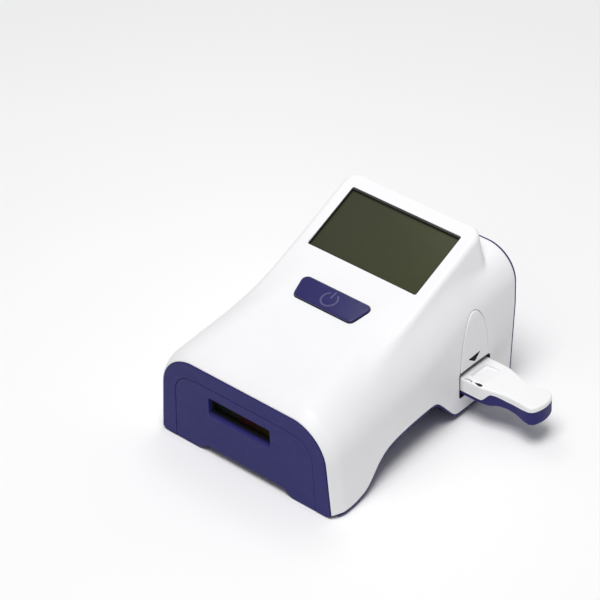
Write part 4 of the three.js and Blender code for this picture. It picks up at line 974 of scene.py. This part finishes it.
# ---------------------------------------------------------------- rear panel and its sockets
o1 = arc(profile([COVER_Y1], [0.55], [-0.2]))[0]
o1 = (o1 * np.array([-1, 1]))[::-1]
rear = fix(to_object(plate(o1, fillet(139.9, 140.7, 0.1, 0.4, 4), REAR), "rear"))
yr = spaced((136.4, 140.2, 0.95))
flange = fix(to_object(full(yr, WALL + 0.35, np.full(len(yr), 3.6)), "flange"))
yh = spaced((135, 138.2, 0.8))
carve(flange, [full(yh, WALL + 2.4, np.full(len(yh), 6.0))])
carve(rear, [flange], "UNION")
USB, DC = (-18, 17), (-33, 17)
rcuts = [plate(rect(4.6, 3.4, 0.9, 6, -USB[0], USB[1]), flare(130, 140.7, 0.35), REAR), plate(circle(4.6, 56, -DC[0], DC[1]), flare(130, 140.7, 0.35), REAR)]
for i in range(5):
    z = 46.9 + i * 4.4
    rcuts.append(plate(rect(16, 0.9, 0.88, 8, 0, z), flare(130, 140.7, 0.3), REAR))
carve(rear, rcuts)
piece("rear_plate", rear, "violet_plastic", "housing", ["rear_panel"], 28)

usb = plate(rect(4.1, 2.9, 0.9, 6, 18, 17), fillet(127.5, 140.4, 0, 0.1, 2), REAR)
usb = fix(to_object(usb, "usb"))
carve(usb, [plate(rect(3.75, 2.55, 0.6, 6, 18, 17), [(0, 131), (0, 142)], REAR)])
piece("usb_shell", usb, "steel", "housing", ["usb_socket"], 28)
piece("usb_tongue", plate(rect(2.9, 0.55, 0.15, 3, 18, 17.4), fillet(130.8, 139.6, 0, 0.2, 2), REAR), "black_plastic", "housing", [], 28)
dc = fix(to_object(plate(circle(4.1, 56, 33, 17), fillet(126.5, 140.4, 0.1, 0.3, 3), REAR), "dc"))
carve(dc, [plate(circle(2.9, 48, 33, 17), flare(130, 140.4, 0.3), REAR)])
piece("power_inlet", dc, "black_plastic", "housing", ["power_socket"], 28)
piece("power_inlet_pin", plate(circle(0.95, 24, 33, 17), [(0, 129.2), (0, 138.7), (-0.2, 139.05), (-0.6, 139.2)], REAR), "steel", "housing", [], 28)

# ---------------------------------------------------------------- test device
def dev_half(x):
    return DEV_W / 2 - 3.4 * smooth((x - 63.5) / 17) + 0.95 * smooth((x - 84) / 9)


def dev_seam(x):
    return 14.8 + 4.9 * smooth((x - 65.3) / 5.8) - 1.2 * smooth((x - 72) / 8) + 1.3 * smooth((x - 85) / 12)


def dev_under(x):
    return 12.2 + 1.2 * smooth((x - 69) / 6) - 2.0 * smooth((x - 80) / 12)


def dev_top(x):
    return DEV_TOP - 0.5 * smooth((x - 68) / 12) + 0.4 * smooth((x - 84) / 10)


def dev_outline(inset):
    xs = np.linspace(DEV_X0 + 1.5, 93.6, 160)
    side = np.stack([xs, DEV_Y - dev_half(xs) + inset], -1)
    hw = float(dev_half(np.array(97.0))) - inset
    a = np.concatenate([np.linspace(-1, -0.8, 22, endpoint=False), np.linspace(-0.8, 0.8, 30, endpoint=False), np.linspace(0.8, 1, 23)])
    e = 1 - np.maximum(0, np.abs(a) - 0.8) / 0.2
    x = DEV_X1 - 2.4 * a * a - inset - (1 - np.sqrt(np.maximum(0, 1 - (1 - e) ** 2))) * 2.2
    end = np.stack([x, DEV_Y + a * hw], -1)
    back = side[::-1] * np.array([1, -1]) + np.array([0, 2 * DEV_Y])
    c = np.radians(np.linspace(0, 90, 9))[1:-1]
    nw = np.stack([DEV_X0 + 1.5 - 1.5 * np.sin(c), DEV_Y + DEV_W / 2 - inset - 1.5 + 1.5 * np.cos(c)], -1)
    sw = (nw * np.array([1, -1]) + np.array([0, 2 * DEV_Y]))[::-1]
    loop = np.concatenate([side, end, back, nw, [[DEV_X0, DEV_Y + 9.4 - inset], [DEV_X0, DEV_Y - 9.4 + inset]], sw])
    # even spacing, then a light smoothing of the corners at the grip's end
    seg = np.linalg.norm(np.roll(loop, -1, 0) - loop, axis=1)
    t = np.concatenate([[0], np.cumsum(seg)])
    q = np.linspace(0, t[-1], 460, endpoint=False)
    closed = np.concatenate([loop, loop[:1]])
    loop = np.stack([np.interp(q, t, closed[:, i]) for i in (0, 1)], -1)
    for _ in range(6):
        loop = (np.roll(loop, 1, 0) + 2 * loop + np.roll(loop, -1, 0)) / 4
    return loop


def dev_body(inset, lower, upper, r0, r1, name):
    steps = [(g, h) for g, h in fillet(0, 20, r0, 0, 5)[:-1]] + [(-r1 * (1 - math.cos(a)), 100 - r1 * (1 - math.sin(a))) for a in np.linspace(0, math.pi / 2, 6)]
    s = sliced(plate(dev_outline(inset), steps), 0, np.arange(60.0, 97.2, 0.8))
    v = np.array(s.v)
    v[:, 2] = np.where(v[:, 2] < 50, lower(v[:, 0]) + v[:, 2], upper(v[:, 0]) - (100 - v[:, 2]))
    s.v = [tuple(p) for p in v]
    return fix(to_object(s, name))


lowerd = dev_body(0.1, dev_under, lambda x: dev_seam(x) - 0.12, 1.5, 0.12, "device_lower")
carve(lowerd, [box(7.2, 66.8, 105.9, 114.5, 13.6, 19)])
piece("device_lower", lowerd, "violet_plastic", "test_device", ["device_base"], 30)
upperd = dev_body(0.0, lambda x: dev_seam(x) + 0.12, dev_top, 0.12, 0.75, "device_upper")
ramp = Shape()
r0 = rect(5.05, 6.1, 0.9, 8, 60.35, DEV_Y)
r1 = grow(r0, 0.35)
height = lambda p: 20.7 + 1.9 * (p[0] - 55.3) / 10.1
loops = [[(p[0], p[1], height(p)) for p in r0], [(p[0] + (q[0] - p[0]) * 0.2, p[1] + (q[1] - p[1]) * 0.2, height(p) + (22.62 - height(p)) * 0.75) for p, q in zip(r0, r1)], [(q[0], q[1], 22.62) for q in r1], [(q[0], q[1], 26.0) for q in r1]]
k = len(r0)
ramp.add([p for l in loops for p in l], [(j * k + i, j * k + (i + 1) % k, (j + 1) * k + (i + 1) % k, (j + 1) * k + i) for j in range(3) for i in range(k)] + [tuple(range(k))[::-1], tuple(3 * k + i for i in range(k))])
carve(upperd, [
    box(7.2, 66.8, 105.9, 114.5, 12, 18.6),
    plate(rect(8, 2.6, 0.5, 5, 26, 110.2), [(0, 12), (0, 21.3), (0.5, 21.75), (1.15, 22.35), (1.4, 22.58), (1.65, 22.62), (1.65, 26)]),
    plate(rect(3.6, 4.8, 1.2, 8, 44, DEV_Y), [(-0.4, 21.6), (-0.15, 21.7), (0, 21.9), (0.1, 22.35), (0.28, 22.55), (0.5, 22.61), (0.5, 26)]),
    plate(rect(2.2, 3.4, 1.6, 10, 44, DEV_Y), [(0, 12), (0, 21.2), (0.12, 21.45), (0.4, 21.62), (0.4, 22)]),
    ramp,
])
piece("device_upper", upperd, "white_device", "test_device", ["device_cover"], 30)


def drop(cx, cy, length, width, n=40):
    """A drop lying along x, its point to the left."""
    t = np.arange(n) * 2 * math.pi / n
    return np.stack([cx - length / 2 * np.cos(t), cy - width / 2 * np.sin(t) * np.sin(t / 2) ** 1.3], -1)[::-1]


d = drop(63.0, 100.9, 5.0, 2.7)
area = (d[:, 0] * np.roll(d[:, 1], -1) - d[:, 1] * np.roll(d[:, 0], -1)).sum()
piece("device_drop_mark", plate(d if area > 0 else d[::-1], [(0, DEV_TOP - 0.2), (0, DEV_TOP + 0.012), (-0.02, DEV_TOP + 0.02)]), "black_ink", "test_device", [], 30)
d = band([[55.4 + 0.4 * i, 100.4 + 0.6 * math.sin(math.pi * i / 10)] for i in range(11)], 0.36)
area = (d[:, 0] * np.roll(d[:, 1], -1) - d[:, 1] * np.roll(d[:, 0], -1)).sum()
piece("device_small_mark", plate(d if area > 0 else d[::-1], [(0, DEV_TOP - 0.2), (0, DEV_TOP + 0.012), (-0.02, DEV_TOP + 0.02)]), "mark_ink", "test_device", [], 30)

st = fix(to_object(box(8.2, 65.8, 106.9, 113.5, 14.2, 15.4), "strip"))
carve(st, [box(50, 65.8, 106.9, 113.5, 15.2, 17.4)], "UNION")
piece("strip_look", st, "strip", "test_device", ["test_strip"], 30, bevel=0.12)


# ---------------------------------------------------------------- the rest, from the frame, with softened edges
def refine(node, mat, bevel=0.3, seg=2, angle=30):
    src = frame["nodes"][node]
    me = src.data.copy()
    me.transform(Matrix.Translation(Vector(ORIGIN)) @ Matrix.Scale(1000, 4))
    ob = bpy.data.objects.new(node + "_look", me)
    scene.collection.objects.link(ob)
    fix(ob, 1e-3)
    bm = bmesh.new()
    bm.from_mesh(me)
    bmesh.ops.dissolve_limit(bm, angle_limit=math.radians(1.0), verts=bm.verts, edges=bm.edges)
    bm.to_mesh(me)
    bm.free()
    if bevel:
        mod = ob.modifiers.new("edge", "BEVEL")
        mod.width, mod.segments, mod.limit_method, mod.angle_limit = bevel, seg, "ANGLE", math.radians(40)
        mod.use_clamp_overlap = True
        baked(ob)
    return finish_piece(ob, node + "_look", [mat], src["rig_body"], [node], angle)


for node, mat, slot, bevel in [
    ("module_case", "black_plastic", "black_plastic", 0.3),
    ("scan_engine", "black_plastic", "black_plastic", 0.3),
    ("module_board", "circuit_board", "circuit_board", 0.12),
    ("module_plug", "black_plastic", "black_plastic", 0.2),
    ("module_bay", "black_plastic", "black_plastic", 0.25),
    ("module_socket", "black_plastic", "black_plastic", 0.2),
    ("display_gasket", "foot_rubber", "black_plastic", 0.15),
    ("display_panel", "display_front", "display_front", 0.2),
    ("display_board", "circuit_board", "circuit_board", 0.15),
    ("display_ribbon", "amber", "amber", 0.0),
    ("key_board", "circuit_board", "circuit_board", 0.15),
    ("key_switch", "black_plastic", "black_plastic", 0.15),
    ("switch_plunger", "black_plastic", "black_plastic", 0.12),
    ("key_board_screw_1", "steel", "steel", 0.1),
    ("key_board_screw_2", "steel", "steel", 0.1),
    ("display_screw_1", "steel", "steel", 0.1),
    ("display_screw_2", "steel", "steel", 0.1),
    ("device_guide", "black_plastic", "black_plastic", 0.25),
    ("guide_spring", "steel", "steel", 0.05),
    ("optics_housing", "black_plastic", "black_plastic", 0.3),
    ("lens_barrel", "black_plastic", "black_plastic", 0.2),
    ("image_sensor", "black_plastic", "black_plastic", 0.15),
    ("sensor_board", "circuit_board", "circuit_board", 0.12),
    ("light_left", "amber", "amber", 0.2),
    ("light_right", "amber", "amber", 0.2),
    ("battery_pack", "battery_wrap", "battery_wrap", 0.3),
    ("main_board", "circuit_board", "circuit_board", 0.12),
    ("display_socket", "black_plastic", "black_plastic", 0.15),
    ("riser_board", "circuit_board", "circuit_board", 0.12),
    ("processor", "black_plastic", "black_plastic", 0.15),
    ("buzzer", "black_plastic", "black_plastic", 0.2),
    ("io_board", "circuit_board", "circuit_board", 0.12),
]:
    refine(node, mat, bevel)

# ---------------------------------------------------------------- floor, light and camera
floor_mesh = bpy.data.meshes.new("floor")
bm = bmesh.new()
bmesh.ops.create_grid(bm, x_segments=8, y_segments=8, size=3.0)
bm.to_mesh(floor_mesh)
bm.free()
floor = bpy.data.objects.new("floor", floor_mesh)
scene.collection.objects.link(floor)
fm = Mat("floor_sheet")
fm.base(fm.mix(fm.remap(fm.noise(3, 2), 0.3, 0.7, 0, 1), (0.93, 0.93, 0.93, 1), (0.95, 0.95, 0.95, 1)))
fm.rough(0.9)
fm.set(**{"Specular_IOR_Level": 0.1})
floor.data.materials.append(fm.m)

world = bpy.data.worlds.new("studio")
scene.world = world
world.use_nodes = True
bg = world.node_tree.nodes["Background"]
bg.inputs["Color"].default_value = (0.985, 0.985, 1.0, 1)
bg.inputs["Strength"].default_value = 0.31


def soft_light(name, place, aim, size, power, colour=(1, 1, 1), size_y=None):
    data = bpy.data.lights.new(name, "AREA")
    data.shape = "RECTANGLE"
    data.size, data.size_y = size, size_y or size
    data.energy, data.color = power, colour
    ob = bpy.data.objects.new(name, data)
    scene.collection.objects.link(ob)
    ob.location = place
    ob.rotation_euler = (Vector(aim) - Vector(place)).to_track_quat("-Z", "Y").to_euler()
    return ob


soft_light("key_light", (0.25, -0.55, 2.30), (0, 0, 0.03), 1.2, 42.7)
soft_light("over_key", (-0.106, 0.094, 0.335), (-0.02, -0.005, 0.065), 0.10, 0.09)

az, el, roll = math.radians(43.10), math.radians(36.08), math.radians(-2.28)
back = Vector((math.sin(az) * math.cos(el), -math.cos(az) * math.cos(el), math.sin(el)))
right = Vector((math.cos(az), math.sin(az), 0))
up = back.cross(right)
R = right * math.cos(roll) + up * math.sin(roll)
U = up * math.cos(roll) - right * math.sin(roll)
cam_data = bpy.data.cameras.new("camera")
cam_data.sensor_width, cam_data.lens = 36.0, 171.69
cam_data.clip_start, cam_data.clip_end = 0.05, 20
cam = bpy.data.objects.new("camera", cam_data)
scene.collection.objects.link(cam)
place = Vector((-0.04937, 0.00517, 0.0471)) + back * 1.41613
cam.matrix_world = Matrix(((R.x, U.x, back.x, place.x), (R.y, U.y, back.y, place.y), (R.z, U.z, back.z, place.z), (0, 0, 0, 1)))
scene.camera = cam

scene.view_settings.view_transform = "Standard"
scene.view_settings.look = "None"

bpy.context.view_layer.update()
